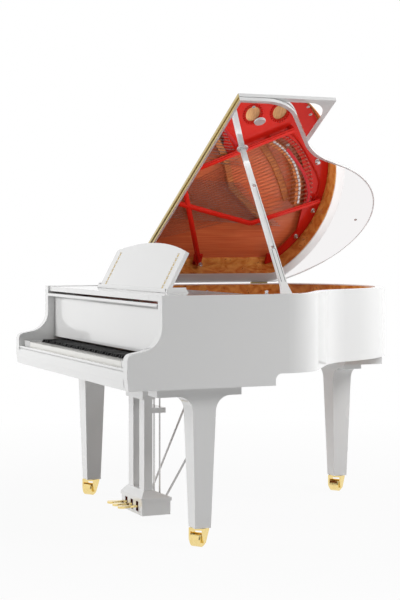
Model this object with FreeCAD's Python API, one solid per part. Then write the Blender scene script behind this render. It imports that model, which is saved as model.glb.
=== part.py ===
"""Grand piano with raised lid: case, strung back, keys and action, lid, legs, pedal lyre and casters.

The model is drawn with X across the keyboard (treble positive), Y from the key front to the tail and
Z up from the floor, and is moved at the end so that its origin is the middle of its box at floor level.
"""
import math
import os

import FreeCAD
import Part

V = FreeCAD.Vector

# Case: plan outline and walls
CASE_WIDTH = 1500.0
CASE_LENGTH = 1620.0
STRAIGHT_SIDE = 685.0
RIM_TOP = 990.0
RIM_BOTTOM = 675.0
RIM_THICK = 45.0

# Bends of the plan, as shares of the case's width, or of its span behind the bend where that is shorter
PLAN_ASPECT = 0.6233
BEND_SHARE = 0.1467
WAIST_SHARE = 0.2667
WAIST_STRAIGHT_SHARE = 0.0733
TAIL_SHARE = 0.4
CORNER_SHARE = 0.092
WAIST_ANGLE = 24.0
CORNER_ANGLE = 140.0

# Arms and the skirt below the keyboard
SKIRT_BOTTOM = 628.0
SKIRT_BACK = 59.0
SKIRT_COVE = 25.0
ARM_FRONT = 142.0
ARM_CURVE_Z = 867.0
ARM_CURVE_R = 90.0
NOSE_R = 26.0
NOSE_Z = 744.0
NOSE_FOOT = 5.0
NOSE_FOOT_Z = 50.0

# Inner rim, beams and soundboard
LINING_THICK = 4.0
LINING_GAP_TOP = 5.0
INNER_RIM_THICK = 40.0
INNER_RIM_BOTTOM = 700.0
BELLY_RAIL_Y = 560.0
BELLY_RAIL_THICK = 40.0
BRACE_WIDTH = 60.0
BRACE_DEPTH = 90.0
BRACE_COUNT = 3
BRACE_FOOT_IN = 320.0
BRACE_FOOT_STEP = 310.0
BRACE_HEAD_IN = 220.0
BRACE_HEAD_STEP = 280.0
BOARD_Z = 862.0
BOARD_THICK = 9.0
RIB_COUNT = 7
RIB_WIDTH = 22.0
RIB_DEPTH = 20.0
RIB_FIRST = 140.0
RIB_SLANT = 260.0

# Cast plate, its struts and the pin block
PLATE_Z = 892.0
PLATE_THICK = 13.0
PLATE_INSET = 52.0
PLATE_FRONT = 285.0
PLATE_SEAT = 30.0
WEB_REAR = 440.0
WEB_LIP = 8.0
SPINE_EDGE = 110.0
SPINE_GAP_REAR = 890.0
TAIL_EDGE = 90.0
TREBLE_EDGE = 105.0
STRUT_WIDTH = 26.0
STRUT_HEIGHT = 24.0
STRUT_FOOT = 20.0
STRUT_LAND = 4.0
STRUT_GAP = 4.0
STRUT_BAR = 25.0
STRUT_IN = 575.0
STRUT_ANGLE = 41.4
STRUT_INSET = 169.0
JOINT_IN = 465.0
JOINT_BACK = 116.0
FORK_ANGLE = 139.9
FORK_INSET = 352.0
FORK_TAIL_ANGLE = 96.6
FORK_TAIL_INSET = 77.0
SPINE_STRUT_FRONT = 321.0
SPINE_STRUT_REAR = 512.0
SPINE_STRUT_END = 64.0
SPINE_PAD = 44.0
TREBLE_STRUT_IN = 240.0
TREBLE_STRUT_LEAN = 22.0
TREBLE_STRUT_REAR = 300.0
ROSE_D = 78.0
ROSE_ANGLES = (9.2, 27.0)
ROSE_INSETS = (212.0, 153.0)
PIN_BLOCK_THICK = 34.0
PIN_BLOCK_STEP = 10.0

# Strings, pins, bridges and dampers
TREBLE_NOTES = 48
TENOR_NOTES = 20
BASS_NOTES = 20
BASS_MARGIN = 98.0
SECTION_GAP = 50.0
TENOR_SPAN = 230.0
TENOR_MARGIN = 25.0
TREBLE_MARGIN = 75.0
SHORTEST_STRING = 150.0
LONG_BRIDGE_INSET = 330.0
LONG_BRIDGE_DRIFT = 60.0
LENGTH_POWER = 1.45
BASS_BRIDGE_ANGLE = 101.9
BASS_SWEEP_ANGLE = 65.8
BASS_BRIDGE_INSET = 192.0
BASS_BRIDGE_DRIFT = 98.0
BRIDGE_WIDTH = 30.0
BRIDGE_END = 15.0
BRIDGE_CLEARANCE = 4.0
LONG_RUN_COUNT = 12
BASS_RUN_COUNT = 4
HITCH_PAST = 70.0
HITCH_LAND = 20.0
STRING_D = 1.6
BASS_STRING_D = 3.2
STRING_Z = 916.0
BASS_RISE = 13.0
PIN_D = 7.0
PIN_HEIGHT = 30.0
PIN_ROWS = 3
PIN_ROW_STEP = 24.0
PIN_BACK = 40.0
FELT_WIDTH = 7.0
FELT_THICK = 5.0
FELT_END = 65.0
FELT_GAP = 4.0
DAMPER_Y = 490.0
DAMPER_COUNT = 66
DAMPER_WIDTH = 5.0
DAMPER_LENGTH = 30.0
DAMPER_HEIGHT = 11.0
DAMPER_WIRE_OUT = 3.2
DAMPER_WIRE_D = 1.6
DAMPER_DROP = 60.0
DAMPER_TRAY = 20.0

# Keyboard and action
NATURAL_COUNT = 52
KEY_COUNT = 88
KEY_GAP = 1.0
KEY_FRONT = 26.0
KEY_REAR = 430.0
KEY_TOP = 733.0
KEY_BODY = 25.0
SHARP_FRONT = 76.0
SHARP_WIDTH = 11.0
SHARP_TOP_WIDTH = 9.0
SHARP_RISE = 12.0
SHARP_SLOPE = 6.0
BALANCE_Y = 265.0
BALANCE_R = 6.0
BALANCE_RAIL = 40.0
FRONT_RAIL_IN = 14.0
FRONT_RAIL = 70.0
FRONT_RAIL_HEIGHT = 20.0
BACK_RAIL = 50.0
TIE_WIDTH = 30.0
TIE_THICK = 12.0
KEY_BED_TOP = 672.0
KEY_BED_REAR = 552.0
SLIP_TOP = 703.0
SLIP_THICK = 22.0
SLIP_ROUND = 16.0
CHEEK_WIDTH = 90.0
CHEEK_TOP = 736.0
CHEEK_REAR = 172.0
SHIFT_TRAVEL = 2.5
STAND_Y = 442.0
STAND_WIDTH = 16.0
STAND_DEPTH = 20.0
HAMMER_RAIL_BACK = 70.0
HAMMER_RAIL_RISE = 70.0
HAMMER_RAIL_HEIGHT = 24.0
HAMMER_RAIL_DEPTH = 28.0
HAMMER_STRIKE = 25.0
HAMMER_BLOW = 45.0
HAMMER_WIDTH = 8.0
HAMMER_DEPTH = 24.0
SHANK_HEIGHT = 10.0

# Clearances
SEAT_GAP = 0.3
SIDE_GAP = 1.5
PIN_CLEARANCE = 0.05
CUT_PAST = 1.0

# Fallboard
FALL_Y = 176.0
FALL_THICK = 16.0
FALL_BOTTOM = 752.0
FALL_TOP = 957.0
FALL_END_GAP = 5.0
FALL_ROOM = 48.0
FALL_PIN_Y = 190.0
FALL_PIN_Z = 775.0
FALL_PIN_R = 4.0
FALL_PIN_DEPTH = 12.0
FALL_LIP_Y = 147.0
FALL_LIP_R = 8.0
FALL_COVE = 14.0

# Music shelf and desk
SHELF_FRONT = 150.0
SHELF_REAR = 545.0
SHELF_BOTTOM = 966.0
SHELF_TOP = 988.0
SHELF_END = 120.0
SHELF_GAP = 1.0
LEDGE_WIDTH = 30.0
LEDGE_THICK = 16.0
DESK_WIDTH = 820.0
DESK_THICK = 16.0
DESK_SIDE = 182.0
DESK_ARCH = 40.0
DESK_PIVOT_Y = 308.0
DESK_PIVOT_Z = 998.5
DESK_HEEL = 6.0
DESK_LEAN_ANGLE = 28.0
DESK_PIN_R = 3.0
WING_LENGTH = 100.0
WING_THICK = 14.0
WING_HEIGHT = 22.0
WING_FRONT = 18.0
WING_SCOOP = 14.0

# Lid, flap, hinges and props
LID_ANGLE = 31.1
LID_THICK = 16.0
LID_GAP = 2.0
LID_OVERHANG = 6.0
FLAP_HINGE_Y = 564.0
FLAP_LENGTH = 450.0
FLAP_FOLD_RISE = 1.5
HINGE_R = 3.5
HINGE_PIN_R = 1.5
HINGE_EDGE = 4.0
HINGE_LEAF = 1.4
HINGE_SEGMENT_COUNT = 5
LEAF_INSET = 1.0
KNUCKLE_GAP = 0.5
LID_MIRROR_BORDER = 9.0
FLAP_MIRROR_BORDER = 24.0
FLAP_MIRROR_CORNER = 40.0
MIRROR_THICK = 2.0
BUTT_R = 6.0
BUTT_PIN_R = 3.0
BUTT_OUT = 6.5
BUTT_DROP = 1.0
BUTT_LENGTH = 90.0
BUTT_LEAF = 2.0
BUTT_LEAF_DEPTH = 30.0
BUTT_NECK = 5.0
BUTT_FIRST = 640.0
BUTT_COUNT = 2
PROP_BACK = 29.0
PROP_ANGLE = 34.5
PROP_Z = 972.0
PROP_X_IN = 30.0
PROP_WIDTH = 30.0
PROP_TIP_WIDTH = 21.0
PROP_FOOT_WIDTH = 46.0
PROP_FOOT_LENGTH = 60.0
PROP_HEEL = 12.0
PROP_THICK = 15.0
PROP_PIN_R = 4.0
PROP_SLOT_WIDTH = 14.0
SHORT_LENGTH = 300.0
SHORT_START = 250.0
SHORT_ROOM = 12.0
SHORT_WIDTH = 12.0
SHORT_THICK = 11.0
SHORT_PIN_UP = 8.0
SHORT_PIN_R = 2.5
SHORT_PIN_LENGTH = 13.8
BRACKET_WALL = 8.0
BRACKET_REACH = 14.0
BRACKET_DROP = 30.0
BRACKET_RISE = 12.0
CUP_D = 44.0
CUP_THICK = 5.0
CUP_STEP = 200.0

# Legs and casters
LEG_TOP_WIDTH = 97.0
LEG_FOOT_WIDTH = 67.0
LEG_SHOULDER_Z = 560.0
LEG_FOOT_Z = 74.0
LEG_SIDE_IN = 100.0
FRONT_LEG_Y = 341.0
REAR_LEG_IN = 459.0
REAR_LEG_BACK = 153.0
REAR_LEG_TOP = 630.0
PLATE_FRONT_SPAN = 199.0
PLATE_REAR_SPAN = 159.0
LEG_PLATE_THICK = 34.0
LEG_FLARE_R = 62.0
REAR_SPAN = 150.0
TAIL_BLOCK_INSET = 15.0
TAIL_BLOCK_DEPTH = 280.0
TAIL_BLOCK_HALF = 310.0
CASTER_STEM_R = 7.0
CASTER_STEM = 45.0
CASTER_CROWN_R = 33.0
CASTER_CROWN = 8.0
CASTER_TRAIL = 16.0
CASTER_ANGLE = -144.0
WHEEL_R = 28.0
WHEEL_WIDTH = 50.0
WHEEL_BEVEL = 5.0
WHEEL_GAP = 1.0
FORK_PLATE = 8.0
FORK_EYE_R = 12.0
AXLE_R = 5.0

# Pedal lyre
LYRE_Y = 321.0
POST_WIDTH = 58.0
POST_DEPTH = 38.0
POST_SPREAD = 131.0
LYRE_HEAD_Z = 522.0
LYRE_HEAD_DEPTH = 58.0
LYRE_HEAD_OUT = 8.0
PEDAL_BOX_WIDTH = 250.0
PEDAL_BOX_FRONT = 300.0
PEDAL_BOX_DEPTH = 130.0
PEDAL_BOX_BOTTOM = 29.0
PEDAL_BOX_TOP = 88.0
PEDAL_BOX_WALL = 11.0
PEDAL_LIP = 14.0
PEDAL_LIP_OUT = 4.0
PEDAL_ROOF_RISE = 30.0
PEDAL_ROOF_EDGE = 2.0
PEDAL_COUNT = 3
PEDAL_SPACING = 66.0
PEDAL_SLOT_WIDTH = 25.0
PEDAL_SLOT_BOTTOM = 42.0
PEDAL_SLOT_TOP = 84.0
PEDAL_Z = 64.0
PEDAL_THICK = 9.0
PEDAL_TIP = 212.0
PEDAL_NECK = 18.0
PEDAL_NECK_RUN = 34.0
PEDAL_TOE = 40.0
PEDAL_PIVOT_Y = 360.0
PEDAL_PIN_R = 4.0
PEDAL_HEEL = 8.0
PEDAL_HUB = 8.0
ROD_Y = 404.0
ROD_R = 4.0
ROD_TOP_GAP = 10.0
ROD_CLEARANCE = 0.3
ROD_SIDES = 12
GUIDE_Z = 462.0
GUIDE_HEIGHT = 22.0
GUIDE_REAR = 420.0
STAY_ROD_R = 5.0
STAY_ROD_FOOT_X = 85.0
STAY_ROD_FOOT_BACK = 12.0
STAY_ROD_HEAD_X = 183.0
STAY_ROD_HEAD_Y = 725.0

PITCHES = ("c", "c_sharp", "d", "d_sharp", "e", "f", "f_sharp", "g", "g_sharp", "a", "a_sharp", "b")
SHARP_SHIFT = {"c_sharp": -0.1, "d_sharp": 0.1, "f_sharp": -0.14, "g_sharp": 0.0, "a_sharp": 0.14}
FIRST_PITCH = 9

HALF = CASE_WIDTH / 2
CASE_INNER = HALF - RIM_THICK
TAIL_SPAN = CASE_LENGTH - STRAIGHT_SIDE
PLAN_REACH = min(CASE_WIDTH, TAIL_SPAN / PLAN_ASPECT)
BEND_R = PLAN_REACH * BEND_SHARE
WAIST_R = PLAN_REACH * WAIST_SHARE
WAIST_STRAIGHT = PLAN_REACH * WAIST_STRAIGHT_SHARE
TAIL_R = PLAN_REACH * TAIL_SHARE
CORNER_R = PLAN_REACH * CORNER_SHARE
SKIRT_END = STRAIGHT_SIDE - SKIRT_BACK
STRUT_X = -HALF + STRUT_IN
LID_Z = RIM_TOP + LID_GAP
LID_TOP = LID_Z + LID_THICK
LID_AXIS = V(-HALF - BUTT_OUT, 0, LID_Z - BUTT_DROP)
FLAP_AXIS_Z = LID_TOP + FLAP_FOLD_RISE
PLATE_TOP = PLATE_Z + PLATE_THICK
KEYBOARD_HALF = CASE_INNER - CHEEK_WIDTH - SIDE_GAP - SHIFT_TRAVEL
NATURAL_PITCH = 2 * KEYBOARD_HALF / NATURAL_COUNT
KEY_BOTTOM = KEY_TOP - KEY_BODY
BALANCE_Z = KEY_BOTTOM - SEAT_GAP - BALANCE_R
FALL_HALF_WIDTH = CASE_INNER - FALL_END_GAP
SHELF_HALF_WIDTH = CASE_INNER - SHELF_END
PROP_X = CASE_INNER - PROP_X_IN
PROP_Y = STRAIGHT_SIDE + PROP_BACK
FRONT_LEG_X = HALF - LEG_SIDE_IN
REAR_LEG_X = -HALF + REAR_LEG_IN
REAR_LEG_Y = CASE_LENGTH - REAR_LEG_BACK


def ahead(turn):
    """Unit step along a path that has turned left from +Y by an angle in degrees."""
    return V(-math.sin(math.radians(turn)), math.cos(math.radians(turn)), 0)


def right_of(turn):
    """Unit step to the right of such a path."""
    return V(math.cos(math.radians(turn)), math.sin(math.radians(turn)), 0)


def crossing_turn(first, first_r, second, second_r, side):
    """Turn of the straight that leaves one circle and joins the next on its other side."""
    between = second - first
    lean = math.degrees(math.asin((first_r + second_r) / between.Length))
    return math.degrees(math.atan2(-between.x, between.y)) + side * lean


def arc(center, radius, start, end, side):
    """Arc of a path about a centre to its left (side 1) or right (side -1)."""
    points = [center + right_of(turn) * (side * radius) for turn in (start, (start + end) / 2, end)]
    return Part.Arc(*points).toShape()


def line(start, end):
    return Part.LineSegment(start, end).toShape()


def chain(arcs, start, end):
    """Joins arcs by straight edges, from a start point to an end point."""
    edges = []
    here = start
    for piece in arcs:
        first = piece.valueAt(piece.FirstParameter)
        if here.distanceToPoint(first) > 1e-6:
            edges.append(line(here, first))
        edges.append(piece)
        here = piece.valueAt(piece.LastParameter)
    if here.distanceToPoint(end) > 1e-6:
        edges.append(line(here, end))
    return edges


def face(edges):
    return Part.Face(Part.Wire(Part.__sortEdges__(edges)))


def polygon(points):
    """Flat face from (x, y) pairs."""
    corners = [V(x, y, 0) for x, y in points]
    return Part.Face(Part.makePolygon(corners + corners[:1]))


def along_z(flat, low, high):
    return flat.translated(V(0, 0, low)).extrude(V(0, 0, high - low))


def along_x(flat, low, high):
    """Extrudes a profile drawn as (y, z) between two x positions."""
    turned = flat.copy()
    turned.Placement = FreeCAD.Placement(V(low, 0, 0), FreeCAD.Rotation(V(1, 1, 1), 120))
    return turned.extrude(V(high - low, 0, 0))


def along_y(flat, low, high):
    """Extrudes a profile drawn as (x, z) between two y positions."""
    turned = flat.copy()
    turned.Placement = FreeCAD.Placement(V(0, low, 0), FreeCAD.Rotation(V(1, 0, 0), 90))
    return turned.extrude(V(0, high - low, 0))


def block(x0, x1, y0, y1, z0, z1):
    return Part.makeBox(x1 - x0, y1 - y0, z1 - z0, V(x0, y0, z0))


def rod(start, end, radius):
    return Part.makeCylinder(radius, start.distanceToPoint(end), start, end - start)


def thin_rod(start, end, radius, sides=4):
    """Straight prism with few sides, for wires and pins."""
    ring = Part.makeCircle(radius, start, end - start)
    corners = [ring.valueAt(2 * math.pi * i / sides) for i in range(sides)]
    return Part.Face(Part.makePolygon(corners + corners[:1])).extrude(end - start)


def frustum(x0, x1, y0, y1, z0, top_x0, top_x1, top_y0, top_y1, z1):
    """Solid with flat sides between two level rectangles."""
    wedge = Part.makeWedge(x0, z0, -y1, -top_y1, top_x0, x1, z1, -y0, -top_y0, top_x1)
    wedge.rotate(V(0, 0, 0), V(1, 0, 0), 90)
    return wedge


def joined(shapes):
    return shapes[0].multiFuse(shapes[1:]).removeSplitter()


def group(shapes):
    return Part.makeCompound(shapes)


def mirrored(shape):
    """The same piece on the other side of the keyboard's middle."""
    return shape.mirror(V(0, 0, 0), V(1, 0, 0))


def tail_center():
    """Centre of the tail's arc in plan."""
    reach = right_of(CORNER_ANGLE).x * (TAIL_R - CORNER_R)
    return V(-HALF + CORNER_R - reach, CASE_LENGTH - TAIL_R, 0)


def tail_point(turn, inset):
    """Place in plan at an angle round the tail, inset from its arc."""
    return tail_center() + right_of(turn) * (TAIL_R - inset)


def case_outline(inset):
    """Plan of the case, inset from its sides, from the key front round the bent side and the tail."""
    bend = V(HALF - BEND_R, STRAIGHT_SIDE, 0)
    waist = tail_point(WAIST_ANGLE, -WAIST_R) - ahead(WAIST_ANGLE) * WAIST_STRAIGHT
    corner = tail_point(CORNER_ANGLE, CORNER_R)
    bend_turn = crossing_turn(bend, BEND_R, waist, WAIST_R, 1)
    arcs = [
        arc(bend, BEND_R - inset, 0, bend_turn, 1),
        arc(waist, WAIST_R + inset, bend_turn, WAIST_ANGLE, -1),
        arc(tail_center(), TAIL_R - inset, WAIST_ANGLE, CORNER_ANGLE, 1),
        arc(corner, CORNER_R - inset, CORNER_ANGLE, 180, 1),
    ]
    treble = V(HALF - inset, 0, 0)
    bass = V(-HALF + inset, 0, 0)
    return face(chain(arcs, treble, bass) + [line(bass, treble)])


def case_slab(inset, front, low, high):
    """Solid of the plan outline behind a straight front edge."""
    before = block(-CASE_WIDTH, CASE_WIDTH, -CASE_LENGTH, front, low, high)
    return along_z(case_outline(inset), low, high).cut(before)


def case_ring(outer, inner, front, low, high):
    """Wall between two insets of the plan outline, open at the front."""
    return case_slab(outer, front, low, high).cut(along_z(case_outline(inner), low, high))


def arm_profile():
    """Side view of an arm: rounded nose, hollow sweep up to the rim, skirt with a coved end."""
    nose = V(NOSE_R, NOSE_Z, 0)
    hollow = V(ARM_FRONT - ARM_CURVE_R, ARM_CURVE_Z, 0)
    turn = crossing_turn(nose, NOSE_R, hollow, ARM_CURVE_R, -1)
    front = [arc(nose, NOSE_R, 0, turn, -1), arc(hollow, ARM_CURVE_R, turn, 0, 1)]
    rear = SKIRT_END + SKIRT_COVE
    edges = chain(front, V(0, SKIRT_BOTTOM + NOSE_FOOT_Z, 0), V(ARM_FRONT, RIM_TOP, 0))
    cove = V(rear, RIM_BOTTOM - SKIRT_COVE, 0)
    start = V(SKIRT_END, RIM_BOTTOM - SKIRT_COVE, 0)
    middle = cove + (V(-1, 1, 0) * (SKIRT_COVE / math.sqrt(2)))
    end = V(rear, RIM_BOTTOM, 0)
    edges.append(line(V(ARM_FRONT, RIM_TOP, 0), V(rear, RIM_TOP, 0)))
    edges.append(line(V(rear, RIM_TOP, 0), end))
    edges.append(Part.Arc(end, middle, start).toShape())
    edges.append(line(start, V(SKIRT_END, SKIRT_BOTTOM, 0)))
    edges.append(line(V(SKIRT_END, SKIRT_BOTTOM, 0), V(NOSE_FOOT, SKIRT_BOTTOM, 0)))
    edges.append(line(V(NOSE_FOOT, SKIRT_BOTTOM, 0), V(0, SKIRT_BOTTOM + NOSE_FOOT_Z, 0)))
    return face(edges)


def outer_rim():
    """Bent rim with both arms, and the blind holes for the fallboard's pivots."""
    profile = arm_profile()
    arms = [along_x(profile, side - RIM_THICK / 2, side + RIM_THICK / 2)
            for side in (HALF - RIM_THICK / 2, RIM_THICK / 2 - HALF)]
    wall = case_ring(0, RIM_THICK, SKIRT_END + SKIRT_COVE, RIM_BOTTOM, RIM_TOP)
    rim = joined([wall] + arms)
    for side in (1, -1):
        inside = V(side * (CASE_INNER - CUT_PAST), FALL_PIN_Y, FALL_PIN_Z)
        reach = V(side * (FALL_PIN_DEPTH + CUT_PAST), 0, 0)
        rim = rim.cut(rod(inside, inside + reach, FALL_PIN_R + PIN_CLEARANCE))
    return rim


def inner_rim():
    """Thick lower rim that carries the soundboard, the plate's seat, and the veneered lining above."""
    front = BELLY_RAIL_Y + BELLY_RAIL_THICK
    ledge = case_ring(RIM_THICK, RIM_THICK + INNER_RIM_THICK, front, INNER_RIM_BOTTOM, BOARD_Z)
    top = RIM_TOP - LINING_GAP_TOP
    lining = case_ring(RIM_THICK, RIM_THICK + LINING_THICK, front, BOARD_Z, top)
    seat = case_ring(RIM_THICK, RIM_THICK + PLATE_SEAT, front, BOARD_Z + BOARD_THICK, PLATE_Z)
    return joined([ledge, lining, seat])


def tail_block():
    """Block under the tail that spreads the rear leg's load; its back edge follows the rim."""
    whole = case_slab(TAIL_BLOCK_INSET, CASE_LENGTH - TAIL_BLOCK_DEPTH, REAR_LEG_TOP, RIM_BOTTOM)
    keep = block(REAR_LEG_X - TAIL_BLOCK_HALF, REAR_LEG_X + TAIL_BLOCK_HALF, 0, CASE_LENGTH,
                 REAR_LEG_TOP, RIM_BOTTOM)
    return whole.common(keep)


def case_braces():
    """Belly rail behind the keyboard, a cross beam for the lyre stays, and beams to rim and tail."""
    rail_rear = BELLY_RAIL_Y + BELLY_RAIL_THICK
    behind = block(-HALF, HALF, rail_rear, CASE_LENGTH, RIM_BOTTOM, BOARD_Z)
    rail = case_slab(RIM_THICK, BELLY_RAIL_Y, RIM_BOTTOM, BOARD_Z).cut(behind)
    inside = case_slab(RIM_THICK + INNER_RIM_THICK, rail_rear, INNER_RIM_BOTTOM, BOARD_Z)
    top = INNER_RIM_BOTTOM + BRACE_DEPTH
    beams = []
    for number in range(BRACE_COUNT):
        foot = V(-HALF + BRACE_FOOT_IN + number * BRACE_FOOT_STEP, BELLY_RAIL_Y, 0)
        head = V(-HALF + BRACE_HEAD_IN + number * BRACE_HEAD_STEP, CASE_LENGTH, 0)
        beams.append(along_z(strip_between(foot, head, BRACE_WIDTH), INNER_RIM_BOTTOM, top).common(inside))
    beam_rear = STAY_ROD_HEAD_Y + BRACE_WIDTH / 2
    cross = block(-HALF / 2, HALF / 2, rail_rear, beam_rear, RIM_BOTTOM, INNER_RIM_BOTTOM)
    return joined([rail, cross] + beams)


def key_bed():
    """Slab under the keyframe, between the arms."""
    return block(-CASE_INNER, CASE_INNER, SLIP_THICK, KEY_BED_REAR, SKIRT_BOTTOM, KEY_BED_TOP)


def key_slip():
    """Front strip below the key fronts, with a rounded upper edge."""
    top = SLIP_TOP
    edges = [
        line(V(NOSE_FOOT, SKIRT_BOTTOM, 0), V(SLIP_THICK, SKIRT_BOTTOM, 0)),
        line(V(SLIP_THICK, SKIRT_BOTTOM, 0), V(SLIP_THICK, top, 0)),
        line(V(SLIP_THICK, top, 0), V(SLIP_ROUND, top, 0)),
        Part.Arc(V(SLIP_ROUND, top, 0),
                 V(SLIP_ROUND - SLIP_ROUND / math.sqrt(2), top - SLIP_ROUND + SLIP_ROUND / math.sqrt(2), 0),
                 V(0, top - SLIP_ROUND, 0)).toShape(),
        line(V(0, top - SLIP_ROUND, 0), V(0, SKIRT_BOTTOM + NOSE_FOOT_Z - SLIP_ROUND, 0)),
        line(V(0, SKIRT_BOTTOM + NOSE_FOOT_Z - SLIP_ROUND, 0), V(NOSE_FOOT, SKIRT_BOTTOM, 0)),
    ]
    return along_x(face(edges), -CASE_INNER, CASE_INNER)


def end_blocks():
    """Cheek blocks beside the keys, and the blocks that carry the music shelf's ends."""
    cheek = block(CASE_INNER - CHEEK_WIDTH, CASE_INNER, KEY_FRONT, CHEEK_REAR, KEY_BED_TOP, CHEEK_TOP)
    shelf_end = SHELF_HALF_WIDTH + SHELF_GAP
    seat = SHELF_BOTTOM - SEAT_GAP
    ledge_in = SHELF_HALF_WIDTH - LEDGE_WIDTH
    section = polygon([(ledge_in, seat - LEDGE_THICK), (CASE_INNER, seat - LEDGE_THICK),
                       (CASE_INNER, SHELF_TOP),
                       (shelf_end, SHELF_TOP), (shelf_end, seat), (ledge_in, seat)])
    carrier_front = FALL_Y + FALL_ROOM
    carrier = along_y(section, carrier_front, SHELF_REAR)
    nose = block(shelf_end, CASE_INNER, SHELF_FRONT, carrier_front, SHELF_BOTTOM, SHELF_TOP)
    carrier = joined([carrier, nose])
    return group([cheek, mirrored(cheek), carrier, mirrored(carrier)])


def key_frame():
    """Front, balance and back rails tied by four cross rails; the balance rail has a round bearing."""
    low = KEY_BED_TOP + SEAT_GAP
    half = KEYBOARD_HALF
    front = KEY_FRONT + FRONT_RAIL_IN
    front_rail = block(-half, half, front, front + FRONT_RAIL, low, low + FRONT_RAIL_HEIGHT)
    balance_rail = block(-half, half, BALANCE_Y - BALANCE_RAIL / 2, BALANCE_Y + BALANCE_RAIL / 2,
                         low, BALANCE_Z)
    bearing = rod(V(-half, BALANCE_Y, BALANCE_Z), V(half, BALANCE_Y, BALANCE_Z), BALANCE_R)
    back_rail = block(-half, half, KEY_REAR - BACK_RAIL, KEY_REAR, low, KEY_BOTTOM - SEAT_GAP)
    ties = [block(x - TIE_WIDTH / 2, x + TIE_WIDTH / 2, front, STAND_Y + STAND_DEPTH, low, low + TIE_THICK)
            for x in frame_ties()]
    return joined([front_rail, balance_rail, bearing, back_rail] + ties)


def key_places():
    """Each key as (pitch name, left edge of its natural, or the centre line of its sharp)."""
    left = -KEYBOARD_HALF
    places = []
    for number in range(KEY_COUNT):
        pitch = PITCHES[(FIRST_PITCH + number) % len(PITCHES)]
        if pitch in SHARP_SHIFT:
            places.append((pitch, left + SHARP_SHIFT[pitch] * NATURAL_PITCH))
        else:
            places.append((pitch, left))
            left += NATURAL_PITCH
    return places


def natural_key(left, sharp_before, sharp_after):
    """White key with its tail cut in beside the sharps."""
    x0 = left + KEY_GAP / 2
    x1 = left + NATURAL_PITCH - KEY_GAP / 2
    notch = SHARP_FRONT - 2 * KEY_GAP
    room = SHARP_WIDTH / 2 + KEY_GAP
    points = [(x0, KEY_FRONT), (x1, KEY_FRONT)]
    tail0 = x0 if sharp_before is None else sharp_before + room
    tail1 = x1 if sharp_after is None else sharp_after - room
    if sharp_after is not None:
        points += [(x1, notch), (tail1, notch)]
    points += [(tail1, KEY_REAR), (tail0, KEY_REAR)]
    if sharp_before is not None:
        points += [(tail0, notch), (x0, notch)]
    return along_z(polygon(points), KEY_BOTTOM, KEY_TOP)


def sharp_key(center):
    """Black key: a body at the naturals' level with a tapered, raised cap that slopes at its front."""
    half = SHARP_WIDTH / 2
    body = block(center - half, center + half, SHARP_FRONT, KEY_REAR, KEY_BOTTOM, KEY_TOP)
    top = SHARP_TOP_WIDTH / 2
    high = KEY_TOP + SHARP_RISE
    rear = FALL_Y + FALL_THICK

    cap = frustum(center - half, center + half, SHARP_FRONT, rear, KEY_TOP,
                  center - top, center + top, SHARP_FRONT + SHARP_SLOPE, rear, high)
    return joined([body, cap])


def keys():
    """Keys gathered by pitch name, one group for each of the twelve."""
    places = key_places()
    sharps = [None if pitch not in SHARP_SHIFT else x for pitch, x in places] + [None]
    groups = {pitch: [] for pitch in PITCHES}
    for number, (pitch, x) in enumerate(places):
        if pitch in SHARP_SHIFT:
            groups[pitch].append(sharp_key(x))
        else:
            before = sharps[number - 1] if number else None
            groups[pitch].append(natural_key(x, before, sharps[number + 1]))
    return {"keys_" + pitch: group(solids) for pitch, solids in groups.items()}


def frame_ties():
    """Where the cross rails of the keyframe lie; the action's stands rise from their rear ends."""
    end = KEYBOARD_HALF - TIE_WIDTH / 2
    return [-end, -KEYBOARD_HALF / 3, KEYBOARD_HALF / 3, end]


def hammer_action():
    """Hammer rail on four stands, with one hammer for each note under its string."""
    half = KEYBOARD_HALF
    rail_y = KEY_REAR - HAMMER_RAIL_BACK
    rail_z = KEY_TOP + HAMMER_RAIL_RISE
    rail_top = rail_z + HAMMER_RAIL_HEIGHT
    pieces = [block(-half, half, rail_y, rail_y + HAMMER_RAIL_DEPTH, rail_z, rail_top)]
    foot = KEY_BED_TOP + SEAT_GAP + TIE_THICK
    stand_rear = STAND_Y + STAND_DEPTH
    for x in frame_ties():
        left = x - STAND_WIDTH / 2
        right = x + STAND_WIDTH / 2
        pieces.append(block(left, right, STAND_Y, stand_rear, foot, rail_top))
        pieces.append(block(left, right, rail_y, stand_rear, rail_z, rail_top))
    strike_y = WEB_REAR + HAMMER_STRIKE
    shank_top = rail_top + SHANK_HEIGHT
    profile = polygon([(rail_y, rail_top), (strike_y + HAMMER_DEPTH / 2, rail_top),
                       (strike_y, STRING_Z - HAMMER_BLOW), (strike_y - HAMMER_DEPTH / 2, shank_top),
                       (rail_y, shank_top)])
    hammers = [along_x(profile, x - HAMMER_WIDTH / 2, x + HAMMER_WIDTH / 2) for x in note_fronts()]
    return group([joined(pieces)] + hammers)


def spread(first, last, count):
    return [first + (last - first) * i / (count - 1) for i in range(count)]


def note_fronts():
    """Where each note's string leaves the front bearing, bass to treble, as x positions."""
    bass = spread(-CASE_INNER + BASS_MARGIN, STRUT_X - TENOR_SPAN - SECTION_GAP, BASS_NOTES)
    tenor = spread(STRUT_X - TENOR_SPAN, STRUT_X - TENOR_MARGIN, TENOR_NOTES)
    treble = spread(STRUT_X + TREBLE_MARGIN, CASE_INNER - BASS_MARGIN, TREBLE_NOTES)
    return bass + tenor + treble


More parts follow.
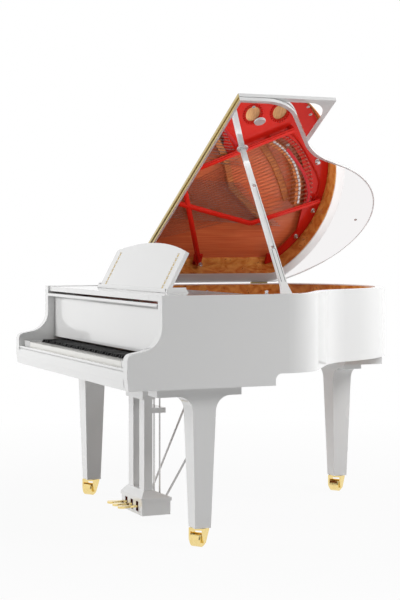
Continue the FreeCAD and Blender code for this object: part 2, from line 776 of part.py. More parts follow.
def bridge_point(note):
    """Where a note's string crosses its bridge: the bass bridge lies behind the long one."""
    if note < BASS_NOTES:
        along = note / (BASS_NOTES - 1)
        turn = BASS_BRIDGE_ANGLE - BASS_SWEEP_ANGLE * along
        place = tail_point(turn, BASS_BRIDGE_INSET + BASS_BRIDGE_DRIFT * along)
        return place + V(0, 0, STRING_Z + BASS_RISE)
    along = (note - BASS_NOTES) / (KEY_COUNT - BASS_NOTES - 1)
    share = (1 - along) ** LENGTH_POWER
    reach = CASE_LENGTH - LONG_BRIDGE_INSET - WEB_REAR - SHORTEST_STRING
    x = note_fronts()[note] - LONG_BRIDGE_DRIFT * share
    return V(x, WEB_REAR + SHORTEST_STRING + reach * share, STRING_Z)


def string_front(note):
    """Front bearing of a note's string, at the height of its bridge."""
    return V(note_fronts()[note], WEB_REAR, bridge_point(note).z)


def past_bridge(note, distance):
    """Place on a note's string at a distance behind its bridge."""
    over = bridge_point(note)
    return over + (over - string_front(note)).normalize() * distance


def at_y(start, end, y):
    """Place on the line through two points at a distance from the key front."""
    return start + (end - start) * ((y - start.y) / (end.y - start.y))


def strings(first, last, diameter):
    """Wires of a run of notes, from the front bearing to their hitch ends."""
    return group([thin_rod(string_front(note), past_bridge(note, HITCH_PAST), diameter / 2, 3)
                  for note in range(first, last)])


def tuning_pins():
    """Pins in staggered rows in front of the bearing line, each in the pin block."""
    pins = []
    for number, x in enumerate(note_fronts()):
        y = WEB_REAR - PIN_BACK - PIN_ROW_STEP * (number % PIN_ROWS)
        pins.append(thin_rod(V(x, y, PLATE_TOP), V(x, y, PLATE_TOP + PIN_HEIGHT), PIN_D / 2))
    return group(pins)


def strip_between(start, end, width):
    """Straight strip in plan about the line between two points."""
    side = (end - start).normalize().cross(V(0, 0, 1)) * (width / 2)
    return polygon([(p.x, p.y) for p in (start + side, end + side, end - side, start - side)])


def strut(start, end, feet):
    """Tapered rib that bridges the strings; feet names the ends (0, 1) that stand on the plate."""
    ends = [start, end]
    low = STRING_Z + BASS_RISE + BASS_STRING_D / 2 + STRUT_GAP
    pieces = [
        along_z(strip_between(*ends, STRUT_WIDTH), low, low + STRUT_HEIGHT / 2),
        along_z(strip_between(*ends, STRUT_WIDTH / 2), low, low + STRUT_HEIGHT),
    ]
    for foot in feet:
        inward = (ends[1 - foot] - ends[foot]).normalize() * STRUT_FOOT
        pieces.append(along_z(strip_between(ends[foot], ends[foot] + inward, STRUT_WIDTH),
                              PLATE_Z, low + STRUT_HEIGHT / 2))
    return joined(pieces)


def strut_front():
    """Where the struts' front feet stand on the pin web."""
    return WEB_REAR - STRUT_FOOT - STRUT_LAND


def strut_joint():
    """Where the front strut branches in plan."""
    return V(-HALF + JOINT_IN, WEB_REAR + JOINT_BACK, 0)


def stem_strut():
    """Ends in plan of the strut from the pin web to the branching."""
    return V(-HALF + JOINT_IN, strut_front(), 0), strut_joint()


def main_strut():
    """Ends in plan of the branch between the bass strings and the treble."""
    return strut_joint(), tail_point(STRUT_ANGLE, STRUT_INSET)


def spine_foot():
    """Place in plan of the cross strut's foot by the spine."""
    return V(-HALF + SPINE_STRUT_END, WEB_REAR + SPINE_STRUT_REAR, 0)


def picked(first, last, runs):
    """Notes at even steps from first to last."""
    return [round(note) for note in spread(first, last, runs + 1)]


def plate_windows():
    """Openings over the soundboard on both sides of the main strut, up to the strings' hitch ends."""
    front = WEB_REAR + WEB_LIP
    spine = -HALF + SPINE_EDGE
    treble = HALF - TREBLE_EDGE
    ends = main_strut()
    behind = HITCH_PAST - HITCH_LAND
    short = [past_bridge(note, behind) for note in picked(KEY_COUNT - 1, BASS_NOTES, LONG_RUN_COUNT)]
    short = [place for place in short if place.x > at_y(*ends, place.y).x]
    bass = [past_bridge(note, behind) for note in picked(BASS_NOTES - 1, 0, BASS_RUN_COUNT)]
    corners = [V(spine, front, 0), V(treble, front, 0), V(treble, short[0].y, 0)] + short
    corners += [at_y(*ends, short[-1].y), at_y(*ends, bass[0].y)] + bass + [V(spine, bass[-1].y, 0)]
    opening = along_z(polygon([(place.x, place.y) for place in corners]), PLATE_Z, PLATE_TOP)
    inside = opening.common(case_slab(TAIL_EDGE, front, PLATE_Z, PLATE_TOP))
    side = block(-HALF, spine, front, WEB_REAR + SPINE_GAP_REAR, PLATE_Z, PLATE_TOP)
    bar = along_z(strip_between(*ends, 2 * STRUT_BAR), PLATE_Z, PLATE_TOP)
    return joined([inside, side]).cut(bar)


def plate():
    """Cast plate: pin web, hitch web with two round holes, tail edge, and a bar that ends at the bridge."""
    webbed = case_slab(PLATE_INSET, PLATE_FRONT, PLATE_Z, PLATE_TOP).cut(plate_windows())
    for plan in bridge_plans(BRIDGE_WIDTH + 2 * BRIDGE_CLEARANCE):
        webbed = webbed.cut(along_z(plan, PLATE_Z, PLATE_TOP))
    for turn, inset in zip(ROSE_ANGLES, ROSE_INSETS):
        place = tail_point(turn, inset) + V(0, 0, PLATE_Z)
        webbed = webbed.cut(Part.makeCylinder(ROSE_D / 2, PLATE_THICK, place))
    return max(webbed.Solids, key=lambda solid: solid.Volume)


def plate_struts(web):
    """Raised struts cast on the plate: a stem that branches, the tail fork, and two cross struts."""
    fork = tail_point(FORK_ANGLE, FORK_INSET)
    treble_x = HALF - TREBLE_STRUT_IN
    pad = spine_foot()
    ribs = [
        strut(*stem_strut(), (0,)),
        strut(*main_strut(), (1,)),
        strut(strut_joint(), fork, ()),
        strut(fork, tail_point(FORK_TAIL_ANGLE, FORK_TAIL_INSET), (1,)),
        strut(at_y(*main_strut(), WEB_REAR + SPINE_STRUT_FRONT), pad, (1,)),
        strut(V(treble_x, strut_front(), 0),
              V(treble_x - TREBLE_STRUT_LEAN, WEB_REAR + TREBLE_STRUT_REAR, 0), (0, 1)),
        block(-HALF + PLATE_INSET, -HALF + SPINE_EDGE, pad.y - SPINE_PAD / 2, pad.y + SPINE_PAD / 2,
              PLATE_Z, PLATE_TOP),
    ]
    return joined(ribs).cut(web)


def pin_block():
    """Laminated block under the plate's front web."""
    half = CASE_INNER - LINING_THICK
    return block(-half, half, PLATE_FRONT, WEB_REAR - PIN_BLOCK_STEP, PLATE_Z - PIN_BLOCK_THICK, PLATE_Z)


def soundboard():
    """Thin board on the inner rim, with slanting ribs glued under it."""
    board = case_slab(RIM_THICK + LINING_THICK, BELLY_RAIL_Y, BOARD_Z, BOARD_Z + BOARD_THICK)
    room = case_slab(RIM_THICK + INNER_RIM_THICK, BELLY_RAIL_Y + BELLY_RAIL_THICK,
                     BOARD_Z - RIB_DEPTH, BOARD_Z)
    step = (CASE_LENGTH - BELLY_RAIL_Y - RIB_SLANT) / RIB_COUNT
    ribs = []
    for number in range(RIB_COUNT):
        y = BELLY_RAIL_Y + RIB_FIRST + number * step
        strip = strip_between(V(-HALF, y, 0), V(HALF, y - RIB_SLANT, 0), RIB_WIDTH)
        ribs.append(along_z(strip, BOARD_Z - RIB_DEPTH, BOARD_Z).common(room))
    return joined([board] + ribs)


def ribbon(places, width):
    """Flat strip of even width along plan points, a little longer than they are."""
    first = places[0] - (places[1] - places[0]).normalize() * BRIDGE_END
    last = places[-1] + (places[-1] - places[-2]).normalize() * BRIDGE_END
    path = [first] + places[1:-1] + [last]
    ways = zip(path[:1] + path[:-1], path[1:] + path[-1:])
    sides = [(after - before).normalize().cross(V(0, 0, 1)) * (width / 2) for before, after in ways]
    edge = [place + side for place, side in zip(path, sides)]
    edge += [place - side for place, side in zip(path[::-1], sides[::-1])]
    return polygon([(place.x, place.y) for place in edge])


def bridge_plans(width):
    """Plans of the long bridge and of the bass bridge, at a given width."""
    plans = []
    sections = [(BASS_NOTES, KEY_COUNT - 1, LONG_RUN_COUNT), (0, BASS_NOTES - 1, BASS_RUN_COUNT)]
    for section in sections:
        places = [bridge_point(note) for note in picked(*section)]
        plans.append(ribbon([V(place.x, place.y, 0) for place in places], width))
    return plans


def bridges():
    """Long bridge under the tenor and treble strings, and bass bridge behind it, on the soundboard."""
    low = BOARD_Z + BOARD_THICK
    tops = (STRING_Z - STRING_D / 2 - SEAT_GAP, STRING_Z + BASS_RISE - BASS_STRING_D / 2 - SEAT_GAP)
    return group([along_z(plan, low, top) for plan, top in zip(bridge_plans(BRIDGE_WIDTH), tops)])


def string_felts():
    """Woven felt strip under the strings' front ends, on the pin web."""
    half = CASE_INNER - FELT_END
    rear = strut_front() - FELT_GAP
    return block(-half, half, rear - FELT_WIDTH, rear, PLATE_TOP, PLATE_TOP + FELT_THICK)


def dampers():
    """Damper heads in a row over the strings, on wires from one lifting tray."""
    low = BOARD_Z - DAMPER_DROP
    front = DAMPER_Y - DAMPER_LENGTH / 2
    pieces = []
    for note in range(DAMPER_COUNT):
        place = at_y(string_front(note), bridge_point(note), DAMPER_Y)
        radius = (BASS_STRING_D if note < BASS_NOTES else STRING_D) / 2
        seat = place.z + radius + SEAT_GAP
        wire = place.x + DAMPER_WIRE_OUT
        head = block(place.x - DAMPER_WIDTH / 2, wire + DAMPER_WIRE_D / 2, front, front + DAMPER_LENGTH,
                     seat, seat + DAMPER_HEIGHT)
        stem = thin_rod(V(wire, DAMPER_Y, low), V(wire, DAMPER_Y, seat), DAMPER_WIRE_D / 2, 3)
        pieces.append(head.fuse(stem))
    ends = [at_y(string_front(note), bridge_point(note), DAMPER_Y).x for note in (0, DAMPER_COUNT - 1)]
    tray = block(ends[0] - DAMPER_TRAY, ends[1] + DAMPER_TRAY, DAMPER_Y - DAMPER_TRAY / 2,
                 DAMPER_Y + DAMPER_TRAY / 2, low - DAMPER_TRAY, low)
    return group([tray] + pieces)


def fallboard():
    """Key lid standing open: coved face, rounded lip, and a pivot pin at each end."""
    rear = FALL_Y + FALL_THICK
    lip = V(FALL_LIP_Y, FALL_TOP - FALL_LIP_R, 0)
    under = FALL_TOP - 2 * FALL_LIP_R
    cove = V(FALL_Y - FALL_COVE, under - FALL_COVE, 0)
    diagonal = V(1, 1, 0) * (FALL_COVE / math.sqrt(2))
    edges = [
        line(V(rear, FALL_BOTTOM, 0), V(rear, FALL_TOP, 0)),
        line(V(rear, FALL_TOP, 0), V(lip.x, FALL_TOP, 0)),
        Part.Arc(V(lip.x, FALL_TOP, 0), lip - V(FALL_LIP_R, 0, 0), V(lip.x, under, 0)).toShape(),
        line(V(lip.x, under, 0), V(cove.x, under, 0)),
        Part.Arc(V(cove.x, under, 0), cove + diagonal, V(FALL_Y, cove.y, 0)).toShape(),
        line(V(FALL_Y, cove.y, 0), V(FALL_Y, FALL_BOTTOM, 0)),
        line(V(FALL_Y, FALL_BOTTOM, 0), V(rear, FALL_BOTTOM, 0)),
    ]
    board = along_x(face(edges), -FALL_HALF_WIDTH, FALL_HALF_WIDTH)
    reach = CASE_INNER + FALL_PIN_DEPTH - SHELF_GAP
    pins = rod(V(-reach, FALL_PIN_Y, FALL_PIN_Z), V(reach, FALL_PIN_Y, FALL_PIN_Z), FALL_PIN_R)
    return joined([board, pins])


def music_shelf():
    """Sliding shelf with two shaped wings that hold the desk's pivots."""
    shelf = block(-SHELF_HALF_WIDTH, SHELF_HALF_WIDTH, SHELF_FRONT, SHELF_REAR, SHELF_BOTTOM, SHELF_TOP)
    start = DESK_PIVOT_Y - WING_FRONT
    end = start + WING_LENGTH
    top = SHELF_TOP + WING_HEIGHT
    bow = WING_SCOOP * (1 - 1 / math.sqrt(2))
    edges = [
        line(V(start, SHELF_TOP, 0), V(end, SHELF_TOP, 0)),
        Part.Arc(V(end, SHELF_TOP, 0), V(end - WING_SCOOP + bow, top - WING_SCOOP + bow, 0),
                 V(end - WING_SCOOP, top, 0)).toShape(),
        line(V(end - WING_SCOOP, top, 0), V(start + WING_SCOOP / 2, top, 0)),
        line(V(start + WING_SCOOP / 2, top, 0), V(start, SHELF_TOP, 0)),
    ]
    inner = DESK_WIDTH / 2 + SHELF_GAP
    wing = along_x(face(edges), inner, inner + WING_THICK)
    bore = rod(V(inner, DESK_PIVOT_Y, DESK_PIVOT_Z),
               V(inner + WING_THICK - DESK_PIN_R, DESK_PIVOT_Y, DESK_PIVOT_Z), DESK_PIN_R + PIN_CLEARANCE)
    wing = wing.cut(bore)
    return joined([shelf, wing, mirrored(wing)])


def leaned(shape):
    """Turns a piece of the desk from upright to its leaning rest."""
    turned = shape.copy()
    turned.rotate(V(0, DESK_PIVOT_Y, DESK_PIVOT_Z), V(1, 0, 0), -DESK_LEAN_ANGLE)
    return turned


def music_desk():
    """Desk panel with an arched top edge and a pivot pin at each end of its foot."""
    half = DESK_WIDTH / 2
    foot = DESK_PIVOT_Z - DESK_HEEL
    side = foot + DESK_SIDE
    edges = [
        line(V(-half, foot, 0), V(half, foot, 0)),
        line(V(half, foot, 0), V(half, side, 0)),
        Part.Arc(V(half, side, 0), V(0, side + DESK_ARCH, 0), V(-half, side, 0)).toShape(),
        line(V(-half, side, 0), V(-half, foot, 0)),
    ]
    front = DESK_PIVOT_Y - DESK_THICK / 2
    panel = along_y(face(edges), front, front + DESK_THICK)
    reach = half + SHELF_GAP + WING_THICK - DESK_PIN_R - 2 * SHELF_GAP
    pin = rod(V(half - WING_THICK, DESK_PIVOT_Y, DESK_PIVOT_Z), V(reach, DESK_PIVOT_Y, DESK_PIVOT_Z),
              DESK_PIN_R)
    return leaned(joined([panel, pin, mirrored(pin)]))


def raised(shape):
    """Turns a piece of the closed lid up to the open angle, about the hinges on the spine."""
    turned = shape.copy()
    turned.rotate(LID_AXIS, V(0, -1, 0), LID_ANGLE)
    return turned


def folded(shape):
    """Turns a piece of the closed flap over on to the top of the lid."""
    turned = shape.copy()
    turned.rotate(V(0, FLAP_HINGE_Y, FLAP_AXIS_Z), V(1, 0, 0), 180)
    return turned


def lid():
    """Main lid over the bent part of the case, with a shallow seat for the polished panel."""
    front = FLAP_HINGE_Y + HINGE_EDGE
    whole = case_slab(-LID_OVERHANG, front, LID_Z, LID_TOP)
    keep = block(-HALF, HALF + LID_OVERHANG, 0, CASE_LENGTH + LID_OVERHANG, LID_Z, LID_TOP)
    seat = case_slab(LID_MIRROR_BORDER, front + LID_MIRROR_BORDER, LID_Z, LID_Z + MIRROR_THICK)
    return raised(whole.common(keep).cut(seat))


def lid_mirror():
    """Mirror-polished panel let into the underside of the lid."""
    border = LID_MIRROR_BORDER + SEAT_GAP
    front = FLAP_HINGE_Y + HINGE_EDGE + border
    return raised(case_slab(border, front, LID_Z, LID_Z + MIRROR_THICK))


def flap_sides():
    """Plan limits of the closed flap."""
    rear = FLAP_HINGE_Y - HINGE_EDGE
    return -HALF, HALF + LID_OVERHANG, rear - FLAP_LENGTH, rear


def flap_panel(gap):
    """Round-cornered panel in the flap's outer face, with a gap to the edge of its seat."""
    x0, x1, y0, y1 = flap_sides()
    border = FLAP_MIRROR_BORDER + gap
    panel = block(x0 + border, x1 - border, y0 + border, y1 - border, LID_TOP - MIRROR_THICK, LID_TOP)
    upright = [edge for edge in panel.Edges if edge.BoundBox.ZLength > MIRROR_THICK / 2]
    return panel.makeFillet(FLAP_MIRROR_CORNER - gap, upright)


def lid_flap():
    """Front flap of the lid, lying folded back on the lid's top."""
    x0, x1, y0, y1 = flap_sides()
    panel = block(x0, x1, y0, y1, LID_Z, LID_TOP)
    return raised(folded(panel.cut(flap_panel(0))))


def flap_mirror():
    """Mirror-polished panel let into the flap's outer face."""
    return raised(folded(flap_panel(SEAT_GAP)))


def strip_knuckles(parity):
    """Every other knuckle of the long strip hinge between lid and flap."""
    x0, x1 = flap_sides()[:2]
    step = (x1 - x0) / HINGE_SEGMENT_COUNT
    return [(x0 + step * i, x0 + step * (i + 1) - KNUCKLE_GAP) for i in range(parity, HINGE_SEGMENT_COUNT, 2)]


def strip_leaf(side, parity):
    """One leaf of the strip hinge with its knuckles; side 1 lies on the lid's edge, -1 on the flap's."""
    x0, x1 = flap_sides()[:2]
    edge = FLAP_HINGE_Y + side * HINGE_EDGE
    y0, y1 = sorted((edge, edge - side * HINGE_LEAF))
    low = LID_Z + LEAF_INSET
    pieces = [block(x0, x1, y0, y1, low, FLAP_AXIS_Z - HINGE_R - LEAF_INSET)]
    for start, end in strip_knuckles(parity):
        pieces.append(rod(V(start, FLAP_HINGE_Y, FLAP_AXIS_Z), V(end, FLAP_HINGE_Y, FLAP_AXIS_Z), HINGE_R))
        pieces.append(block(start, end, y0, y1, low, FLAP_AXIS_Z))
    return pieces


def strip_pin(radius):
    x0, x1 = flap_sides()[:2]
    return rod(V(x0, FLAP_HINGE_Y, FLAP_AXIS_Z), V(x1, FLAP_HINGE_Y, FLAP_AXIS_Z), radius)


def flap_hinge_leaf():
    """Flap's half of the strip hinge, bored to run on the pin."""
    leaf = joined(strip_leaf(-1, 1)).cut(strip_pin(HINGE_PIN_R + PIN_CLEARANCE))
    return raised(folded(leaf))


def butt_places():
    """Starts of the lid hinges along the straight spine."""
    return spread(BUTT_FIRST, tail_point(CORNER_ANGLE, CORNER_R).y - BUTT_LENGTH, BUTT_COUNT)


def butt_hinge(start, moving):
    """Half of a lid hinge: outer knuckles, pin and rim leaf, or the middle knuckle and lid leaf."""
    third = BUTT_LENGTH / 3
    axis = LID_AXIS + V(0, start, 0)
    wall = -HALF
    up = axis.z + BUTT_R
    down = axis.z - BUTT_R
    if moving:
        spans = [(third + KNUCKLE_GAP, 2 * third - KNUCKLE_GAP)]
        neck = axis.z, up + BUTT_NECK
        leaf = block(wall - BUTT_LEAF, wall, start, start + BUTT_LENGTH, up + LEAF_INSET, LID_TOP - LEAF_INSET)
    else:
        spans = [(0, third), (2 * third, BUTT_LENGTH)]
        neck = down - BUTT_NECK, axis.z
        leaf = block(wall - BUTT_LEAF, wall, start, start + BUTT_LENGTH,
                     down - BUTT_LEAF_DEPTH, down - LEAF_INSET)
    pieces = [leaf]
    for low, high in spans:
        pieces.append(rod(axis + V(0, low, 0), axis + V(0, high, 0), BUTT_R))
        pieces.append(block(wall - BUTT_LEAF, wall - SEAT_GAP, start + low, start + high, *neck))
    if moving:
        bore = rod(axis, axis + V(0, BUTT_LENGTH, 0), BUTT_PIN_R + PIN_CLEARANCE)
        return joined(pieces).cut(bore)
    return joined(pieces + [rod(axis, axis + V(0, BUTT_LENGTH, 0), BUTT_PIN_R)])


def leaning(angle):
    """Upward direction that leans by an angle from the treble towards the spine."""
    return V(-math.sin(math.radians(angle)), 0, math.cos(math.radians(angle)))


def prop_reach():
    """Distance along the prop's middle from its pivot to the cup plate on the lid's underside."""
    pivot = V(PROP_X, PROP_Y, PROP_Z)
    square = leaning(LID_ANGLE)
    seat = LID_AXIS + V(0, PROP_Y, 0) + square * (LID_Z - LID_AXIS.z - CUP_THICK)
    return (seat - pivot).dot(square) / leaning(PROP_ANGLE).dot(square)


def prop_length():
    """Length of the prop to its tip, whose nearer edge just clears the cup plate."""
    slant = math.tan(math.radians(PROP_ANGLE - LID_ANGLE))
    return prop_reach() - SEAT_GAP - PROP_THICK / 2 * slant


def cup_center():
    """Plan x, on the closed lid, of the place where the prop's tip meets it."""
    across = V(math.cos(math.radians(LID_ANGLE)), 0, math.sin(math.radians(LID_ANGLE)))
    tip = V(PROP_X, 0, PROP_Z) + leaning(PROP_ANGLE) * prop_reach()
    return LID_AXIS.x + (tip - LID_AXIS).dot(across)


def lid_fittings():
    """Lid halves of the hinges, the strip hinge's pin leaf, and the cup plates for the props."""
    strip = joined(strip_leaf(1, 0) + [strip_pin(HINGE_PIN_R)])
    pieces = [raised(strip)]
    pieces += [raised(butt_hinge(start, True)) for start in butt_places()]
    for x in (cup_center(), cup_center() + CUP_STEP):
        cup = Part.makeCylinder(CUP_D / 2, CUP_THICK, V(x, PROP_Y, LID_Z - CUP_THICK))
        pieces.append(raised(cup))
    return group(pieces)


def upright_prop(shape):
    """Leans a piece drawn along +Z from the prop's pivot into the prop's raised place."""
    turned = shape.copy()
    turned.rotate(V(0, 0, 0), V(0, -1, 0), PROP_ANGLE)
    return turned.translated(V(PROP_X, PROP_Y, PROP_Z))


def lid_prop():
    """Long prop stick with a flared foot and a slot for the short stick."""
    top = prop_length()
    half = PROP_WIDTH / 2
    foot = PROP_FOOT_WIDTH / 2
    tip = PROP_TIP_WIDTH / 2
    flare = PROP_FOOT_LENGTH
    profile = polygon([(-foot, -PROP_HEEL), (foot, -PROP_HEEL), (foot, flare / 3), (half, flare), (tip, top),
                       (-tip, top), (-half, flare), (-foot, flare / 3)])
    stick = along_x(profile, -PROP_THICK / 2, PROP_THICK / 2)
    slot = block(-PROP_THICK, PROP_THICK, -PROP_SLOT_WIDTH / 2, PROP_SLOT_WIDTH / 2,
                 SHORT_START - SHORT_ROOM, SHORT_START + SHORT_LENGTH + SHORT_ROOM)
    bore = rod(V(0, -foot, 0), V(0, foot, 0), PROP_PIN_R + PIN_CLEARANCE)
    return upright_prop(stick.cut(slot).cut(bore))


def short_prop():
    """Short stick in the long one's slot, on its own cross pin."""
    half = SHORT_WIDTH / 2
    thick = SHORT_THICK / 2
    stick = block(-thick, thick, -half, half, SHORT_START, SHORT_START + SHORT_LENGTH)
    pivot = V(0, 0, SHORT_START + SHORT_PIN_UP)
    out = V(0, SHORT_PIN_LENGTH / 2, 0)
    pin = rod(pivot - out, pivot + out, SHORT_PIN_R)
    return upright_prop(joined([stick, pin]))


def rim_fittings():
    """Rim halves of the lid hinges, and the bracket with the prop's pivot on the treble rim."""
    pieces = [butt_hinge(start, False) for start in butt_places()]
    near = PROP_FOOT_WIDTH / 2 + 2 * SEAT_GAP
    far = near + BRACKET_WALL
    front = PROP_X - BRACKET_REACH
    low = PROP_Z - BRACKET_DROP
    ears = []
    for side in (1, -1):
        y0, y1 = sorted((PROP_Y + side * near, PROP_Y + side * far))
        ears.append(block(front, CASE_INNER, y0, y1, low, PROP_Z + BRACKET_RISE))
    web = block(front, CASE_INNER, PROP_Y - far, PROP_Y + far, low - BRACKET_WALL, low)
    pin = rod(V(PROP_X, PROP_Y - far, PROP_Z), V(PROP_X, PROP_Y + far, PROP_Z), PROP_PIN_R)
    rim = case_ring(0, RIM_THICK + LINING_THICK, BELLY_RAIL_Y, RIM_BOTTOM, RIM_TOP)
    return group(pieces + [joined(ears + [web, pin]).cut(rim)])


def leg_bracket(front_span, rear_span, top):
    """Side view of a leg's head about its middle: a top plate with a hollow flare on each side."""
    half = LEG_TOP_WIDTH / 2
    under = top - LEG_PLATE_THICK
    low = under - LEG_FLARE_R
    bow = LEG_FLARE_R * (1 - 1 / math.sqrt(2))
    edges = [
        line(V(-front_span, top, 0), V(rear_span, top, 0)),
        line(V(rear_span, top, 0), V(rear_span, under, 0)),
        line(V(rear_span, under, 0), V(half + LEG_FLARE_R, under, 0)),
        Part.Arc(V(half + LEG_FLARE_R, under, 0), V(half + bow, under - bow, 0), V(half, low, 0)).toShape(),
        line(V(half, low, 0), V(-half, low, 0)),
        Part.Arc(V(-half, low, 0), V(-half - bow, under - bow, 0), V(-half - LEG_FLARE_R, under, 0)).toShape(),
        line(V(-half - LEG_FLARE_R, under, 0), V(-front_span, under, 0)),
        line(V(-front_span, under, 0), V(-front_span, top, 0)),
    ]
    return face(edges)


def leg_shaft(top):
    """Square shaft, straight at the head and tapering to the foot, bored for the caster's stem."""
    low = top - LEG_PLATE_THICK - LEG_FLARE_R
    shoulder = min(LEG_SHOULDER_Z, low)
    half = LEG_TOP_WIDTH / 2
    foot = LEG_FOOT_WIDTH / 2
    taper = frustum(-foot, foot, -foot, foot, LEG_FOOT_Z, -half, half, -half, half, shoulder)
    neck = block(-half, half, -half, half, shoulder, low + CUT_PAST)
    stem = Part.makeCylinder(CASTER_STEM_R + PIN_CLEARANCE, CASTER_STEM + CUT_PAST, V(0, 0, LEG_FOOT_Z))
    return taper.fuse(neck).cut(stem)


def front_leg(x):
    half = LEG_TOP_WIDTH / 2
    head = along_x(leg_bracket(PLATE_FRONT_SPAN, PLATE_REAR_SPAN, SKIRT_BOTTOM), -half, half)
    return joined([leg_shaft(SKIRT_BOTTOM), head]).translated(V(x, FRONT_LEG_Y, 0))


def rear_leg():
    half = LEG_TOP_WIDTH / 2
    head = along_y(leg_bracket(REAR_SPAN, REAR_SPAN, REAR_LEG_TOP), -half, half)
    return joined([leg_shaft(REAR_LEG_TOP), head]).translated(V(REAR_LEG_X, REAR_LEG_Y, 0))


def standing(shape, x, y):
    """Turns a caster piece to its trailing direction and puts it under a leg."""
    turned = shape.copy()
    turned.rotate(V(0, 0, 0), V(0, 0, 1), CASTER_ANGLE)
    return turned.translated(V(x, y, 0))


def caster_fork(x, y):
    """Swivel crown with a stem in the leg and two cheeks that carry the axle."""
    top = LEG_FOOT_Z - SEAT_GAP
    under = top - CASTER_CROWN
    crown = Part.makeCylinder(CASTER_CROWN_R, CASTER_CROWN, V(0, 0, under))
    stem = Part.makeCylinder(CASTER_STEM_R, CASTER_STEM, V(0, 0, top))
    axle_end = WHEEL_WIDTH / 2 + WHEEL_GAP + FORK_PLATE
    axle = rod(V(-axle_end, CASTER_TRAIL, WHEEL_R), V(axle_end, CASTER_TRAIL, WHEEL_R), AXLE_R)
    rear = CASTER_TRAIL + FORK_EYE_R
    eye = FORK_EYE_R / 2
    bridge_plate = block(-axle_end, axle_end, -CASTER_TRAIL, rear, under, top)
    cheek = polygon([(-CASTER_TRAIL, under), (rear, under), (rear, WHEEL_R),
                     (CASTER_TRAIL + eye, WHEEL_R - FORK_EYE_R), (CASTER_TRAIL - eye, WHEEL_R - FORK_EYE_R),
                     (CASTER_TRAIL - FORK_EYE_R, WHEEL_R)])
    pieces = [crown, stem, axle, bridge_plate]
    for side in (1, -1):
        low, high = sorted((side * axle_end, side * (axle_end - FORK_PLATE)))
        pieces.append(along_x(cheek, low, high))
    return standing(joined(pieces), x, y)


def caster_wheel(x, y):
    """Broad roller with bevelled shoulders, bored to run on the axle."""
    half = WHEEL_WIDTH / 2
    wheel = rod(V(-half, CASTER_TRAIL, WHEEL_R), V(half, CASTER_TRAIL, WHEEL_R), WHEEL_R)
    rims = [edge for edge in wheel.Edges if isinstance(edge.Curve, Part.Circle)]
    wheel = wheel.makeChamfer(WHEEL_BEVEL, rims)
    bore = rod(V(-half, CASTER_TRAIL, WHEEL_R), V(half, CASTER_TRAIL, WHEEL_R), AXLE_R + PIN_CLEARANCE)
    return standing(wheel.cut(bore), x, y)


def pedal_places():
    return [(number - (PEDAL_COUNT - 1) / 2) * PEDAL_SPACING for number in range(PEDAL_COUNT)]


def lyre():
    """Two posts between a head block and a hollow pedal box with sloping shoulders."""
    outer = POST_SPREAD / 2 + POST_WIDTH / 2
    rear = LYRE_Y + POST_DEPTH
    posts = []
    lip_top = PEDAL_BOX_TOP + PEDAL_LIP
    for side in (1, -1):
        edge = sorted((side * (outer - POST_WIDTH), side * outer))
        posts.append(block(edge[0], edge[1], LYRE_Y, rear, lip_top, LYRE_HEAD_Z))
    head_out = outer + LYRE_HEAD_OUT
    head_front = LYRE_Y + POST_DEPTH / 2 - LYRE_HEAD_DEPTH / 2
    head = block(-head_out, head_out, head_front, head_front + LYRE_HEAD_DEPTH, LYRE_HEAD_Z, SKIRT_BOTTOM)
    half = PEDAL_BOX_WIDTH / 2
    front = PEDAL_BOX_FRONT
    back = front + PEDAL_BOX_DEPTH
    wall = PEDAL_BOX_WALL
    box = block(-half, half, front, back, PEDAL_BOX_BOTTOM, PEDAL_BOX_TOP)
    cavity = block(-half + wall, half - wall, front + wall, back - wall, PEDAL_BOX_BOTTOM, PEDAL_BOX_TOP)
    out = PEDAL_LIP_OUT
    lip = block(-half - out, half + out, front - out, back + out, PEDAL_BOX_TOP, lip_top)

    edge = PEDAL_ROOF_EDGE
    roof_x = outer + edge
    roof = frustum(-half - out, half + out, front - out, back + out, lip_top,
                   -roof_x, roof_x, LYRE_Y - edge, rear + edge, lip_top + PEDAL_ROOF_RISE)
    guide = block(-outer, outer, rear, GUIDE_REAR, GUIDE_Z, GUIDE_Z + GUIDE_HEIGHT)
    body = joined([box.cut(cavity), lip, roof, guide, head] + posts)
    slot = PEDAL_SLOT_WIDTH / 2
    room = ROD_R + ROD_CLEARANCE
    for x in pedal_places():
        body = body.cut(block(x - slot, x + slot, front, front + wall, PEDAL_SLOT_BOTTOM, PEDAL_SLOT_TOP))
        body = body.cut(block(x - room, x + room, ROD_Y - room, ROD_Y + room, PEDAL_BOX_BOTTOM, SKIRT_BOTTOM))
    pin = rod(V(-half + wall / 2, PEDAL_PIVOT_Y, PEDAL_Z), V(half - wall / 2, PEDAL_PIVOT_Y, PEDAL_Z),
              PEDAL_PIN_R)
    return joined([body, pin])


def lyre_stays(body):
    """Two thin stays from the pedal box up to the beam behind the key bed."""
    stays = []
    room = block(-HALF, HALF, 0, CASE_LENGTH, 0, RIM_BOTTOM)
    foot_y = PEDAL_BOX_FRONT + PEDAL_BOX_DEPTH - STAY_ROD_FOOT_BACK
    for side in (1, -1):
        foot = V(side * STAY_ROD_FOOT_X, foot_y, PEDAL_BOX_TOP)
        head = V(side * STAY_ROD_HEAD_X, STAY_ROD_HEAD_Y, RIM_BOTTOM)
        past = (head - foot).normalize() * (4 * STAY_ROD_R)
        stay = thin_rod(foot, head + past, STAY_ROD_R, ROD_SIDES).common(room).cut(body)
        stays.append(max(stay.Solids, key=lambda solid: solid.Volume))
    return group(stays)


